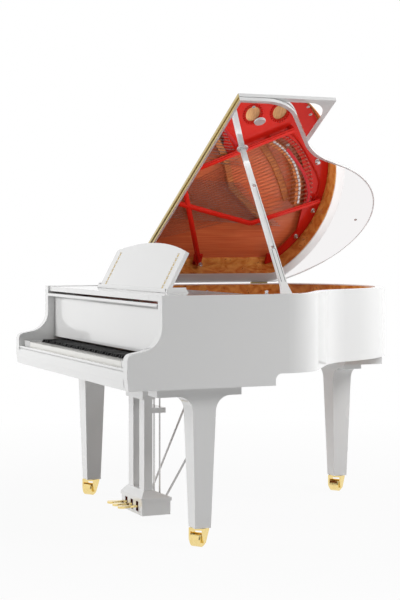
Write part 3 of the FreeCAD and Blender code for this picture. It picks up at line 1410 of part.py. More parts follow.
def pedal(x):
    """Brass pedal: rounded toe, narrow neck through the slot, and a lever bored for the pivot rod."""
    half = PEDAL_NECK / 2
    toe = PEDAL_TOE / 2
    toe_y = PEDAL_TIP + toe
    neck_y = toe_y + PEDAL_NECK_RUN
    rear = ROD_Y + PEDAL_HEEL
    edges = [
        Part.Arc(V(-toe, toe_y, 0), V(0, PEDAL_TIP, 0), V(toe, toe_y, 0)).toShape(),
        line(V(toe, toe_y, 0), V(half, neck_y, 0)),
        line(V(half, neck_y, 0), V(half, rear, 0)),
        line(V(half, rear, 0), V(-half, rear, 0)),
        line(V(-half, rear, 0), V(-half, neck_y, 0)),
        line(V(-half, neck_y, 0), V(-toe, toe_y, 0)),
    ]
    low = PEDAL_Z - PEDAL_THICK / 2
    lever = along_z(face(edges), low, low + PEDAL_THICK)
    ends = V(-half, PEDAL_PIVOT_Y, PEDAL_Z), V(half, PEDAL_PIVOT_Y, PEDAL_Z)
    hub = block(-half, half, PEDAL_PIVOT_Y - PEDAL_HUB, PEDAL_PIVOT_Y + PEDAL_HUB,
                PEDAL_Z - PEDAL_HUB, PEDAL_Z + PEDAL_HUB)
    bore = rod(*ends, PEDAL_PIN_R + PIN_CLEARANCE)
    return joined([lever, hub]).cut(bore).translated(V(x, 0, 0))


def pedal_rod(x):
    """Upright rod that the pedal's inner end lifts towards the trap levers."""
    low = PEDAL_Z + PEDAL_THICK / 2 + SEAT_GAP
    high = SKIRT_BOTTOM - ROD_TOP_GAP
    return thin_rod(V(x, ROD_Y, low), V(x, ROD_Y, high), ROD_R, ROD_SIDES)


def build():
    """All nodes by name, in drawing coordinates."""
    lyre_body = lyre()
    web = plate()
    nodes = {
        "outer_rim": outer_rim(),
        "inner_rim": inner_rim(),
        "tail_block": tail_block(),
        "case_braces": case_braces(),
        "key_bed": key_bed(),
        "key_slip": key_slip(),
        "end_blocks": end_blocks(),
        "rim_fittings": rim_fittings(),
        "pin_block": pin_block(),
        "plate": web,
        "plate_struts": plate_struts(web),
        "soundboard": soundboard(),
        "bridges": bridges(),
        "treble_strings": strings(BASS_NOTES, KEY_COUNT, STRING_D),
        "bass_strings": strings(0, BASS_NOTES, BASS_STRING_D),
        "tuning_pins": tuning_pins(),
        "string_felts": string_felts(),
        "hammer_action": hammer_action(),
        "dampers": dampers(),
        "key_frame": key_frame(),
        "fallboard": fallboard(),
        "music_shelf": music_shelf(),
        "music_desk": music_desk(),
        "lid": lid(),
        "lid_mirror": lid_mirror(),
        "lid_fittings": lid_fittings(),
        "lid_flap": lid_flap(),
        "flap_mirror": flap_mirror(),
        "flap_hinge_leaf": flap_hinge_leaf(),
        "lid_prop": lid_prop(),
        "short_prop": short_prop(),
        "leg_rear": rear_leg(),
        "lyre": lyre_body,
        "lyre_stays": lyre_stays(lyre_body),
    }
    nodes.update(keys())
    feet = {"bass": (-FRONT_LEG_X, FRONT_LEG_Y), "treble": (FRONT_LEG_X, FRONT_LEG_Y),
            "rear": (REAR_LEG_X, REAR_LEG_Y)}
    for side, x in (("bass", -FRONT_LEG_X), ("treble", FRONT_LEG_X)):
        nodes["leg_" + side] = front_leg(x)
    for side, (x, y) in feet.items():
        nodes["caster_fork_" + side] = caster_fork(x, y)
        nodes["caster_wheel_" + side] = caster_wheel(x, y)
    for name, x in zip(("soft", "sostenuto", "sustain"), pedal_places()):
        nodes["pedal_" + name] = pedal(x)
        nodes["pedal_rod_" + name] = pedal_rod(x)
    return nodes


def origin_of(nodes):
    """Middle of the whole piano's box, at the height of the floor."""
    bounds = FreeCAD.BoundBox()
    for shape in nodes.values():
        bounds.add(shape.optimalBoundingBox(False))
    return V(bounds.Center.x, bounds.Center.y, bounds.ZMin)


def main():
    os.makedirs("parts", exist_ok=True)
    nodes = build()
    origin = origin_of(nodes)
    for name, shape in nodes.items():
        shape.translated(-origin).exportStep("parts/" + name + ".step")
    print("nodes", len(nodes), "origin", tuple(round(value, 3) for value in origin))


main()
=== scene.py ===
"""White grand piano: finishes, fine fittings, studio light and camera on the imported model."""
import math

import bmesh
import bpy
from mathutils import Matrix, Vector
from mathutils.bvhtree import BVHTree


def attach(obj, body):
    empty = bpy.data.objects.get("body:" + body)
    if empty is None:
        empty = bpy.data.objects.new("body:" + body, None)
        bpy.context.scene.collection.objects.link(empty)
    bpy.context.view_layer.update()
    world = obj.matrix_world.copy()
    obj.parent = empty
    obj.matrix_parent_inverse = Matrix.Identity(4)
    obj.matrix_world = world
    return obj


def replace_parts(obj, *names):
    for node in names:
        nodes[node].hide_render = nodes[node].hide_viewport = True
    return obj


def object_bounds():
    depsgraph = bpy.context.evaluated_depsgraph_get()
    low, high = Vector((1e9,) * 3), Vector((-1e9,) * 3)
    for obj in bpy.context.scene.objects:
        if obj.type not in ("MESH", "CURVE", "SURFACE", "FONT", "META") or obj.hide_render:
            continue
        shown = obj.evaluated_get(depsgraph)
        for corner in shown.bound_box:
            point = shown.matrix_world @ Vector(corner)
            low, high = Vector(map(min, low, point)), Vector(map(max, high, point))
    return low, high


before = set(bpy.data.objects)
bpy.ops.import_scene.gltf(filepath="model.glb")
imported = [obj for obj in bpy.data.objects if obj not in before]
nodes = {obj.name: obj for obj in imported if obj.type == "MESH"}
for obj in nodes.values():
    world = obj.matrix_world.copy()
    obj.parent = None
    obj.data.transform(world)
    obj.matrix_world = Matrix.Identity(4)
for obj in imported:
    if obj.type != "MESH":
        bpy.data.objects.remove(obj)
cad_low, cad_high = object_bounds()

# Drawing coordinates in mm: X across the keyboard, Y from the key front to the tail, Z up
ORIGIN = Vector((-9.765, 813.0, 0.0))
PLATE_TOP = 905.0
BOARD_TOP = 871.0
SLIP_TOP = 703.0
SLIP_HALF = 704.0
PEDAL_SLOTS = (-66, 0, 66)
SLOT_HALF = 12.4
SLOT_LOW = 42.1
SLOT_HIGH = 83.9
SLOT_FELT = 1.2
SLOT_FRONT = 299.0
SLOT_BACK = 312.0
STRING_CORNERS = 18
LID_AXIS_X = -756.5
LID_AXIS_Z = 991.0
LID_ANGLE = math.radians(31.1)
LID_UNDER = 992.0
PROP_X = 675.0
PROP_Y = 714.0
PROP_Z = 972.0
PROP_LEAN = math.radians(34.5)
PROP_FACE = 7.5
# Ends of the painted slot shade on the prop, in mm along it
SLOT_SHADE_LOW = 72.0
SLOT_SHADE_HIGH = 228.0
CUP_X = 416.0
CUP_STEP = 200.0
CUP_REACH = 30.0
HINGE_REACH = 300.0
DESK_PIVOT_Y = 308.0
DESK_PIVOT_Z = 998.5
DESK_LEAN = math.radians(28.0)
DESK_THICK = 16.0
DESK_HEEL = 6.0
LEDGE_FRONT = 291.0
LEDGE_BACK = 299.0
LEDGE_CLEAR = 0.8
LEDGE_HALF = 408.0
INLAY_X = 345
INLAY_COUNT = 8
INLAY_FIRST = 14
INLAY_PITCH = 21
LOZENGE = ((-10, 0), (0, -9), (10, 0), (0, 9))
MIRROR_BORDER = 8.5
MIRROR_PROUD = 0.3
TAIL_FROM = 1080.0
TAIL_RUN = 120.0
SPINE_FROM = -640.0
SPINE_RUN = 100.0
FLAP_PANEL_X = (-726, 732)
FLAP_PANEL_Y = (592, 994)
FLAP_PANEL_RISE = 19.0
FLAP_PANEL_R = 85.0
SPANDREL_FACES = (-0.2, 0.6)
SPANDREL_STEPS = 12
# The second button is an open fault: it lies past the lid's waist and hangs free of the folded flap
REST_BUTTONS = ((714, 647), (678, 925), (452, 916), (-150, 1540))
LID_KNOB = (321, 1121)
ROSES = ((125, 1082), (140, 1223))
ROSE_R = 39.0
STRUT_FOOT = 934.6
STRUT_FLAT = 0.4
STRUT_TOP = 944.2
BOLTS = ((195, 1079, PLATE_TOP), (-113, 1488, PLATE_TOP), (-389, 1531, PLATE_TOP), (-536, 1469, PLATE_TOP),
         (-676, 950, STRUT_TOP))
HITCH_WEB = ((42, 1273), (25, 1322), (-32, 1381), (-97, 1435), (-171, 1492), (-231, 1526), (-293, 1529),
             (-347, 1504))
LISTING = ((-40, 1290), (-72, 1324), (-145, 1395), (-219, 1446), (-280, 1470), (-330, 1474))
TREBLE_LISTING = ((57, 930), (10, 982), (-40, 1030))
BASS_APRON = ((-39, 1174), (-133, 1255), (-237, 1325), (-342, 1380))
FINDER_POST = (714, 602)
STRUT_ROUND = 3.6
WELD = 0.01
EDGE_TILT = 0.5
ABOVE_ALL = 2000.0
FLAT_ANGLE = math.radians(0.5)
SHARP_ANGLE = math.radians(35)
CREASE_ANGLE = math.radians(40)


def place(x, y, z):
    """Drawing coordinates in mm to the row frame in metres."""
    return (Vector((x, y, z)) - ORIGIN) / 1000


def linear(code):
    """sRGB hex colour to linear RGBA."""
    shares = [int(code[i:i + 2], 16) / 255 for i in (1, 3, 5)]
    return [s / 12.92 if s <= 0.04045 else ((s + 0.055) / 1.055) ** 2.4 for s in shares] + [1.0]


def per_metre(size_mm):
    """Texture scale at which one feature is about this wide."""
    return 1000 / size_mm


def add(tree, kind, inputs=None, **settings):
    """Adds a node with its settings; inputs are socket values or links, by socket name or number."""
    made = tree.nodes.new(kind)
    for name, value in settings.items():
        setattr(made, name, value)
    for socket, value in (inputs or {}).items():
        if isinstance(value, bpy.types.NodeSocket):
            tree.links.new(value, made.inputs[socket])
        else:
            made.inputs[socket].default_value = value
    return made


def start(name):
    """Empty node material, its tree and the coordinates of the row frame."""
    made = bpy.data.materials.new(name)
    made.use_nodes = True
    tree = made.node_tree
    tree.nodes.clear()
    return made, tree, add(tree, "ShaderNodeTexCoord").outputs["Object"]


def white_lacquer():
    """Polyester lacquer, sprayed thick and buffed: a clear deep gloss over white, duller where rubbed."""
    made, tree, where = start("white_polyester_lacquer")
    cloud = add(tree, "ShaderNodeTexNoise", {"Vector": where, "Scale": per_metre(400), "Detail": 1.0})
    tone = add(tree, "ShaderNodeMix", {0: cloud.outputs[0], 6: linear("#EBEBEB"), 7: linear("#F0F0EF")},
               data_type="RGBA")
    matt = add(tree, "ShaderNodeMapRange", {"Value": cloud.outputs[0], "To Min": 0.2, "To Max": 0.3})
    shader = add(tree, "ShaderNodeBsdfPrincipled", {
        "Base Color": tone.outputs[2], "Roughness": matt.outputs[0], "IOR": 1.52, "Coat Weight": 1.0,
        "Coat Roughness": 0.02, "Coat IOR": 1.52})
    add(tree, "ShaderNodeOutputMaterial", {"Surface": shader.outputs[0]})
    return made


def brass(name, light, dark):
    """Cast brass, buffed: a warm mirror, clouded where the buffing or the age of it varies."""
    made, tree, where = start(name)
    cloud = add(tree, "ShaderNodeTexNoise", {"Vector": where, "Scale": per_metre(14), "Detail": 3.0})
    tone = add(tree, "ShaderNodeMix", {0: cloud.outputs[0], 6: linear(light), 7: linear(dark)},
               data_type="RGBA")
    buff = add(tree, "ShaderNodeTexNoise", {"Vector": where, "Scale": per_metre(6), "Detail": 3.0})
    rough = add(tree, "ShaderNodeMapRange", {"Value": buff.outputs[0], "From Min": 0.3, "From Max": 0.7,
                                             "To Min": 0.08, "To Max": 0.2})
    shader = add(tree, "ShaderNodeBsdfPrincipled", {
        "Base Color": tone.outputs[2], "Metallic": 1.0, "Roughness": rough.outputs[0]})
    add(tree, "ShaderNodeOutputMaterial", {"Surface": shader.outputs[0]})
    return made


def gilding():
    """Gold leaf inlay under lacquer: small overlaps of the leaf show as lighter and darker flecks."""
    made, tree, where = start("gold_leaf_inlay")
    leaf = add(tree, "ShaderNodeTexVoronoi", {"Vector": where, "Scale": per_metre(5)})
    tone = add(tree, "ShaderNodeMix", {
        0: leaf.outputs["Distance"], 6: linear("#A88A3C"), 7: linear("#D3B766")}, data_type="RGBA")
    shader = add(tree, "ShaderNodeBsdfPrincipled", {
        "Base Color": tone.outputs[2], "Metallic": 1.0, "Roughness": 0.3, "Coat Weight": 0.5,
        "Coat Roughness": 0.05})
    add(tree, "ShaderNodeOutputMaterial", {"Surface": shader.outputs[0]})
    return made


def plate_paint():
    """Cast iron sprayed with red bronze paint under clear lacquer: metal flake, drawn 1.5 mm
    wide so that it shows, over faint sand-cast grain."""
    made, tree, where = start("red_bronzed_cast_iron")
    flake = add(tree, "ShaderNodeTexNoise", {"Vector": where, "Scale": per_metre(1.5), "Detail": 2.0})
    tone = add(tree, "ShaderNodeMix", {0: flake.outputs[0], 6: linear("#B40E07"), 7: linear("#D22716")},
               data_type="RGBA")
    sand = add(tree, "ShaderNodeTexNoise", {"Vector": where, "Scale": per_metre(4), "Detail": 3.0})
    grain = add(tree, "ShaderNodeBump", {"Height": sand.outputs[0], "Distance": 0.00012})
    shader = add(tree, "ShaderNodeBsdfPrincipled", {
        "Base Color": tone.outputs[2], "Metallic": 0.35, "Roughness": 0.3, "Specular IOR Level": 0.3,
        "Coat Weight": 0.3, "Coat Roughness": 0.06, "Normal": grain.outputs[0]})
    add(tree, "ShaderNodeOutputMaterial", {"Surface": shader.outputs[0]})
    return made


def burl_veneer():
    """Burl veneer, book-cut and polished: swirled honey figure, warm shadows and tight dark eyes."""
    made, tree, where = start("polished_burl_veneer")
    swirl = add(tree, "ShaderNodeTexNoise", {"Vector": where, "Scale": per_metre(90), "Detail": 6.0,
                                             "Distortion": 2.2})
    figure = add(tree, "ShaderNodeMapRange", {"Value": swirl.outputs[0], "From Min": 0.36, "From Max": 0.64})
    honey = add(tree, "ShaderNodeMix", {0: figure.outputs[0], 6: linear("#C8742C"), 7: linear("#F0B25C")},
                data_type="RGBA")
    fibre = add(tree, "ShaderNodeTexNoise", {"Vector": where, "Scale": per_metre(7), "Detail": 4.0,
                                             "Distortion": 1.0})
    streak = add(tree, "ShaderNodeMapRange", {"Value": fibre.outputs[0], "From Min": 0.3, "From Max": 0.7,
                                              "To Min": 0.0, "To Max": 0.3})
    warm = add(tree, "ShaderNodeMix", {0: streak.outputs[0], 6: honey.outputs[2], 7: linear("#D68C42")},
               data_type="RGBA")
    knots = add(tree, "ShaderNodeTexNoise", {"Vector": where, "Scale": per_metre(24), "Detail": 3.0,
                                             "Distortion": 1.4})
    eyes = add(tree, "ShaderNodeMapRange", {"Value": knots.outputs[0], "From Min": 0.26, "From Max": 0.38,
                                            "To Min": 0.75, "To Max": 0.0})
    tone = add(tree, "ShaderNodeMix", {0: eyes.outputs[0], 6: warm.outputs[2], 7: linear("#6B3212")},
               data_type="RGBA")
    shader = add(tree, "ShaderNodeBsdfPrincipled", {
        "Base Color": tone.outputs[2], "Roughness": 0.25, "Coat Weight": 0.8, "Coat Roughness": 0.05})
    add(tree, "ShaderNodeOutputMaterial", {"Surface": shader.outputs[0]})
    return made


def spruce():
    """Quarter-sawn spruce under amber varnish, its orange-red partly a painted reflection of the red plate:
    close straight grain, drawn 4 mm apart so that it shows.
    """
    made, tree, where = start("amber_spruce_with_painted_red_reflection")
    along = add(tree, "ShaderNodeMapping", {"Vector": where, "Scale": (1.0, 0.02, 1.0)})
    rings = add(tree, "ShaderNodeTexNoise", {
        "Vector": along.outputs[0], "Scale": per_metre(4), "Detail": 2.0})
    line = add(tree, "ShaderNodeMapRange", {"Value": rings.outputs[0], "From Min": 0.35, "From Max": 0.65})
    # Orange-red tone: the amber of the varnished spruce, with a painted reflection of the red plate mixed in
    tone = add(tree, "ShaderNodeMix", {0: line.outputs[0], 6: linear("#BC5630"), 7: linear("#CC6C40")},
               data_type="RGBA")
    relief = add(tree, "ShaderNodeBump", {"Height": rings.outputs[0], "Distance": 0.00006})
    shader = add(tree, "ShaderNodeBsdfPrincipled", {
        "Base Color": tone.outputs[2], "Roughness": 0.36, "Coat Weight": 0.5, "Coat Roughness": 0.12,
        "Normal": relief.outputs[0]})
    add(tree, "ShaderNodeOutputMaterial", {"Surface": shader.outputs[0]})
    return made


def wood(name, dark, light, stretch):
    """Planed hardwood, oiled: straight grain, drawn 5 mm apart so that it shows, that varies the sheen."""
    made, tree, where = start(name)
    along = add(tree, "ShaderNodeMapping", {"Vector": where, "Scale": stretch})
    rings = add(tree, "ShaderNodeTexNoise", {"Vector": along.outputs[0], "Scale": per_metre(5), "Detail": 3.0,
                                             "Distortion": 0.3})
    line = add(tree, "ShaderNodeMapRange", {"Value": rings.outputs[0], "From Min": 0.35, "From Max": 0.65})
    tone = add(tree, "ShaderNodeMix", {0: line.outputs[0], 6: linear(dark), 7: linear(light)},
               data_type="RGBA")
    sheen = add(tree, "ShaderNodeMapRange", {"Value": rings.outputs[0], "To Min": 0.4, "To Max": 0.55})
    shader = add(tree, "ShaderNodeBsdfPrincipled", {
        "Base Color": tone.outputs[2], "Roughness": sheen.outputs[0]})
    add(tree, "ShaderNodeOutputMaterial", {"Surface": shader.outputs[0]})
    return made


def steel():
    """Drawn and nickelled steel: bright, with soft drawing lines, drawn 3 mm wide so that they show."""
    made, tree, where = start("nickelled_steel")
    along = add(tree, "ShaderNodeMapping", {"Vector": where, "Scale": (1.0, 0.1, 1.0)})
    drawn = add(tree, "ShaderNodeTexNoise", {
        "Vector": along.outputs[0], "Scale": per_metre(3), "Detail": 2.0})
    tone = add(tree, "ShaderNodeMix", {0: drawn.outputs[0], 6: linear("#C9C8C8"), 7: linear("#E6E5E6")},
               data_type="RGBA")
    rough = add(tree, "ShaderNodeMapRange", {"Value": drawn.outputs[0], "To Min": 0.14, "To Max": 0.3})
    shader = add(tree, "ShaderNodeBsdfPrincipled", {
        "Base Color": tone.outputs[2], "Metallic": 1.0, "Roughness": rough.outputs[0]})
    add(tree, "ShaderNodeOutputMaterial", {"Surface": shader.outputs[0]})
    return made


def music_wire():
    """Hard-drawn steel music wire: darker than nickel, with a thin bright line along its round."""
    made, tree, where = start("drawn_music_wire")
    tarnish = add(tree, "ShaderNodeTexNoise", {"Vector": where, "Scale": per_metre(40), "Detail": 2.0})
    tone = add(tree, "ShaderNodeMix", {0: tarnish.outputs[0], 6: linear("#8C8785"), 7: linear("#BDB8B5")},
               data_type="RGBA")
    shader = add(tree, "ShaderNodeBsdfPrincipled", {
        "Base Color": tone.outputs[2], "Metallic": 1.0, "Roughness": 0.28})
    add(tree, "ShaderNodeOutputMaterial", {"Surface": shader.outputs[0]})
    return made


def copper():
    """Copper wound on core wire: ribs, drawn 2.5 mm apart so that they show, that break up the shine."""
    made, tree, where = start("copper_winding")
    coils = add(tree, "ShaderNodeTexNoise", {"Vector": where, "Scale": per_metre(2.5), "Detail": 1.0})
    tone = add(tree, "ShaderNodeMix", {0: coils.outputs[0], 6: linear("#A9624A"), 7: linear("#E0A186")},
               data_type="RGBA")
    ribs = add(tree, "ShaderNodeBump", {"Height": coils.outputs[0], "Distance": 0.0003})
    shader = add(tree, "ShaderNodeBsdfPrincipled", {
        "Base Color": tone.outputs[2], "Metallic": 1.0, "Roughness": 0.34, "Normal": ribs.outputs[0]})
    add(tree, "ShaderNodeOutputMaterial", {"Surface": shader.outputs[0]})
    return made


def felt(name, dark, light):
    """Pressed wool felt: matt, hazy at grazing light, its fibre drawn 2.5 mm wide so that it shows."""
    made, tree, where = start(name)
    fibre = add(tree, "ShaderNodeTexNoise", {"Vector": where, "Scale": per_metre(2.5), "Detail": 5.0})
    tone = add(tree, "ShaderNodeMix", {0: fibre.outputs[0], 6: linear(dark), 7: linear(light)},
               data_type="RGBA")
    nap = add(tree, "ShaderNodeBump", {"Height": fibre.outputs[0], "Distance": 0.0004})
    shader = add(tree, "ShaderNodeBsdfPrincipled", {
        "Base Color": tone.outputs[2], "Roughness": 0.95, "Sheen Weight": 0.4, "Normal": nap.outputs[0]})
    add(tree, "ShaderNodeOutputMaterial", {"Surface": shader.outputs[0]})
    return made


def key_white():
    """Moulded acrylic key covering: smooth cream white with the faintest flow of the mould."""
    made, tree, where = start("moulded_white_acrylic")
    along = add(tree, "ShaderNodeMapping", {"Vector": where, "Scale": (1.0, 0.2, 1.0)})
    flow = add(tree, "ShaderNodeTexNoise", {
        "Vector": along.outputs[0], "Scale": per_metre(40), "Detail": 2.0})
    tone = add(tree, "ShaderNodeMix", {0: flow.outputs[0], 6: linear("#F1F0EB"), 7: linear("#F8F7F3")},
               data_type="RGBA")
    shader = add(tree, "ShaderNodeBsdfPrincipled", {
        "Base Color": tone.outputs[2], "Roughness": 0.16, "IOR": 1.49})
    add(tree, "ShaderNodeOutputMaterial", {"Surface": shader.outputs[0]})
    return made


def key_black():
    """Stained hardwood, rubbed satin: deep black, its grain drawn 2.5 mm wide so that it shows."""
    made, tree, where = start("black_stained_hardwood")
    along = add(tree, "ShaderNodeMapping", {"Vector": where, "Scale": (1.0, 0.06, 1.0)})
    grain = add(tree, "ShaderNodeTexNoise", {
        "Vector": along.outputs[0], "Scale": per_metre(2.5), "Detail": 3.0})
    tone = add(tree, "ShaderNodeMix", {0: grain.outputs[0], 6: linear("#0C0C0D"), 7: linear("#191919")},
               data_type="RGBA")
    rough = add(tree, "ShaderNodeMapRange", {"Value": grain.outputs[0], "To Min": 0.26, "To Max": 0.42})
    shader = add(tree, "ShaderNodeBsdfPrincipled", {
        "Base Color": tone.outputs[2], "Roughness": rough.outputs[0], "Specular IOR Level": 0.1})
    add(tree, "ShaderNodeOutputMaterial", {"Surface": shader.outputs[0]})
    return made


def mirror_panel():
    """Silvered sheet, hand-polished: a full mirror with a trace of polishing haze."""
    made, tree, where = start("silvered_sheet")
    haze = add(tree, "ShaderNodeTexNoise", {"Vector": where, "Scale": per_metre(30), "Detail": 3.0})
    rough = add(tree, "ShaderNodeMapRange", {"Value": haze.outputs[0], "To Min": 0.002, "To Max": 0.016})
    shader = add(tree, "ShaderNodeBsdfPrincipled", {
        "Base Color": linear("#F7F5F5"), "Metallic": 1.0, "Roughness": rough.outputs[0]})
    add(tree, "ShaderNodeOutputMaterial", {"Surface": shader.outputs[0]})
    return made


def rubber():
    """Moulded pale rubber: dull, with a fine bloom."""
    made, tree, where = start("moulded_pale_rubber")
    bloom = add(tree, "ShaderNodeTexNoise", {"Vector": where, "Scale": per_metre(3), "Detail": 3.0})
    tone = add(tree, "ShaderNodeMix", {0: bloom.outputs[0], 6: linear("#CFCFCB"), 7: linear("#E2E2DE")},
               data_type="RGBA")
    shader = add(tree, "ShaderNodeBsdfPrincipled", {"Base Color": tone.outputs[2], "Roughness": 0.7})
    add(tree, "ShaderNodeOutputMaterial", {"Surface": shader.outputs[0]})
    return made


LACQUER = white_lacquer()
BRASS = brass("buffed_brass", "#FBE7A8", "#E9CC84")
HINGE_BRASS = brass("aged_hinge_brass", "#D6C48E", "#B49F68")
GOLD_LEAF = gilding()
PLATE = plate_paint()
BURL = burl_veneer()
# Soundboard finish, its red partly a painted reflection of the plate
SPRUCE = spruce()
MAPLE = wood("planed_maple", "#C79A62", "#DDB67E", (0.08, 1.0, 1.0))
BEECH = wood("oiled_beech", "#9E5526", "#BC7238", (1.0, 0.1, 1.0))
STEEL = steel()
WIRE = music_wire()
COPPER = copper()
RED_FELT = felt("red_wool_felt", "#8E0610", "#B81018")
DARK_FELT = felt("dark_red_wool_felt", "#4E0A10", "#6E1218")
# Grey felt whose grey is painted shade: it stands in for the shadow lines at the prop's slot
SLOT_SHADE_FELT = felt("painted_prop_slot_shade", "#6C6C6A", "#8A8A88")
WHITE_FELT = felt("white_wool_felt", "#B9B4AA", "#DAD6CD")
KEY_WHITE = key_white()
KEY_BLACK = key_black()
MIRROR = mirror_panel()
RUBBER = rubber()

FINISHES = {
    LACQUER: ["outer_rim", "key_slip", "end_blocks", "tail_block", "fallboard", "music_shelf", "music_desk",
              "lid", "lid_flap", "lid_prop", "short_prop", "leg_bass", "leg_treble", "leg_rear", "lyre",
              "lyre_stays", "key_bed"],
    BURL: ["inner_rim"],
    SPRUCE: ["soundboard"],
    MAPLE: ["case_braces", "pin_block", "key_frame", "hammer_action"],
    BEECH: ["bridges"],
    PLATE: ["plate", "plate_struts"],
    STEEL: ["tuning_pins"],
    WIRE: ["treble_strings"],
    COPPER: ["bass_strings"],
    RED_FELT: ["string_felts"],
    WHITE_FELT: ["dampers"],
    MIRROR: ["lid_mirror", "flap_mirror"],
    HINGE_BRASS: ["lid_fittings", "flap_hinge_leaf", "rim_fittings"],
    BRASS: [],
}
for side in ("bass", "treble", "rear"):
    FINISHES[BRASS] += ["caster_fork_" + side, "caster_wheel_" + side]
for pedal in ("soft", "sostenuto", "sustain"):
    FINISHES[BRASS].append("pedal_" + pedal)
    FINISHES[STEEL].append("pedal_rod_" + pedal)
for name in nodes:
    if name.startswith("keys_"):
        FINISHES.setdefault(KEY_BLACK if name.endswith("sharp") else KEY_WHITE, []).append(name)
for material, names in FINISHES.items():
    for name in names:
        nodes[name].data.materials.clear()
        nodes[name].data.materials.append(material)


def softened(name, width_mm):
    """Eased arrises, as sanding and spraying leave them."""
    piece = nodes[name]
    flat = piece.modifiers.new("flat", "DECIMATE")
    flat.decimate_type = "DISSOLVE"
    flat.angle_limit = FLAT_ANGLE
    ease = piece.modifiers.new("ease", "BEVEL")
    ease.width = width_mm / 1000
    ease.segments = 2
    ease.limit_method = "ANGLE"
    ease.angle_limit = SHARP_ANGLE
    ease.use_clamp_overlap = True
    ease.harden_normals = True


EASED = {"outer_rim": 2.5, "key_slip": 2, "end_blocks": 1.5, "tail_block": 2, "fallboard": 1.5,
         "music_shelf": 2, "music_desk": 2.5, "lid": 3, "lid_flap": 3, "lid_prop": 1.5,
         "leg_bass": 2, "leg_treble": 2, "leg_rear": 2, "lyre": 1.5, "plate": 2}
for side in ("bass", "treble", "rear"):
    EASED["caster_wheel_" + side] = 3
    EASED["caster_fork_" + side] = 1.5
for name, width in EASED.items():
    softened(name, width)


def split_finish(name, material, chosen):
    """Gives part of a node a second finish, by the middle of each face in row coordinates."""
    mesh = nodes[name].data
    mesh.materials.append(material)
    for face in mesh.polygons:
        if chosen(face.center):
            face.material_index = 1


def on_prop_cups(spot):
    """Whether a place in the row frame is on the prop cups, not on a hinge."""
    beside = abs(spot.y - place(0, PROP_Y, 0).y)
    return beside < CUP_REACH / 1000 and spot.x > place(LID_AXIS_X + HINGE_REACH, 0, 0).x


split_finish("lid_fittings", LACQUER, on_prop_cups)


def shown(name, shape, material, body):
    """Turns a drawn mesh into a named piece with its finish, riding on its body."""
    bmesh.ops.recalc_face_normals(shape, faces=shape.faces)
    for face in shape.faces:
        face.smooth = True
    for edge in shape.edges:
        edge.smooth = edge.calc_face_angle(0.0) < CREASE_ANGLE
    data = bpy.data.meshes.new(name)
    shape.to_mesh(data)
    shape.free()
    data.materials.append(material)
    piece = bpy.data.objects.new(name, data)
    bpy.context.scene.collection.objects.link(piece)
    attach(piece, body)
    return piece


def skin(shape, rings, closed=False):
    """Joins rings of points into one surface; an open run gets a cap at both ends."""
    pairs = list(zip(rings, rings[1:]))
    if closed:
        pairs.append((rings[-1], rings[0]))
    for low, high in pairs:
        for i in range(len(low)):
            shape.faces.new((low[i - 1], low[i], high[i], high[i - 1]))
    if not closed:
        shape.faces.new(rings[0])
        shape.faces.new(rings[-1])


def turned(shape, profile, base, axis=(0, 0, 1), sides=16):
    """Adds a turned solid to a mesh: steps of radius and height in mm along an axis from a base point."""
    turn = Vector((0, 0, 1)).rotation_difference(Vector(axis))
    spokes = [math.tau * i / sides for i in range(sides)]
    rings = []
    for radius, height in profile:
        spots = [Vector((radius * math.cos(a), radius * math.sin(a), height)) for a in spokes]
        rings.append([shape.verts.new(base + turn @ spot / 1000) for spot in spots])
    skin(shape, rings)


def swept(shape, path, section, closed=False):
    """Adds a section of side and height steps in mm, run along a path of drawing points, to a mesh."""
    rings = []
    for i, spot in enumerate(path):
        before = path[i - 1] if i or closed else spot
        after = path[(i + 1) % len(path)] if closed or i + 1 < len(path) else spot
        run = (after - before).normalized()
        rings.append([shape.verts.new(place(spot.x + s * run.y, spot.y - s * run.x, spot.z + h))
                      for s, h in section])
    skin(shape, rings, closed)


def rounded(points, z, steps=6):
    """Smooth level path through plan points."""
    spots = [Vector((x, y, z)) for x, y in points]
    ends = [spots[0]] + spots + [spots[-1]]
    path = []
    for a, b, c, d in zip(ends, ends[1:], ends[2:], ends[3:]):
        for i in range(steps):
            t = i / steps
            path.append(b + 0.5 * t * (c - a + t * (2 * a - 5 * b + 4 * c - d + t * (3 * b - a - 3 * c + d))))
    return path + [spots[-1]]


def round_path(x, y, radius, z, sides=32):
    """Level circle of drawing points."""
    turns = [math.tau * i / sides for i in range(sides)]
    return [Vector((x + radius * math.cos(a), y + radius * math.sin(a), z)) for a in turns]


def surface_of(node):
    """Search tree of a node's faces."""
    mesh = nodes[node].data
    return BVHTree.FromPolygons([v.co for v in mesh.vertices], [p.vertices for p in mesh.polygons])


def height_on(surface, spot):
    """Drawing height of a surface's top at a plan place, or None beside it."""
    found = surface.ray_cast(place(spot.x, spot.y, ABOVE_ALL), Vector((0, 0, -1)))[0]
    return found and (found * 1000 + ORIGIN).z


def resting(node, x, y):
    """Place on top of a node."""
    return place(x, y, height_on(surface_of(node), Vector((x, y, 0))))


def on_lid(x, y, drop):
    """Place below the raised lid's face, from its plan when closed."""
    across = x - LID_AXIS_X
    up = LID_UNDER - LID_AXIS_Z - drop
    return place(LID_AXIS_X + across * math.cos(LID_ANGLE) - up * math.sin(LID_ANGLE), y,
                 LID_AXIS_Z + across * math.sin(LID_ANGLE) + up * math.cos(LID_ANGLE))


LID_DOWN = Vector((math.sin(LID_ANGLE), 0, -math.cos(LID_ANGLE)))


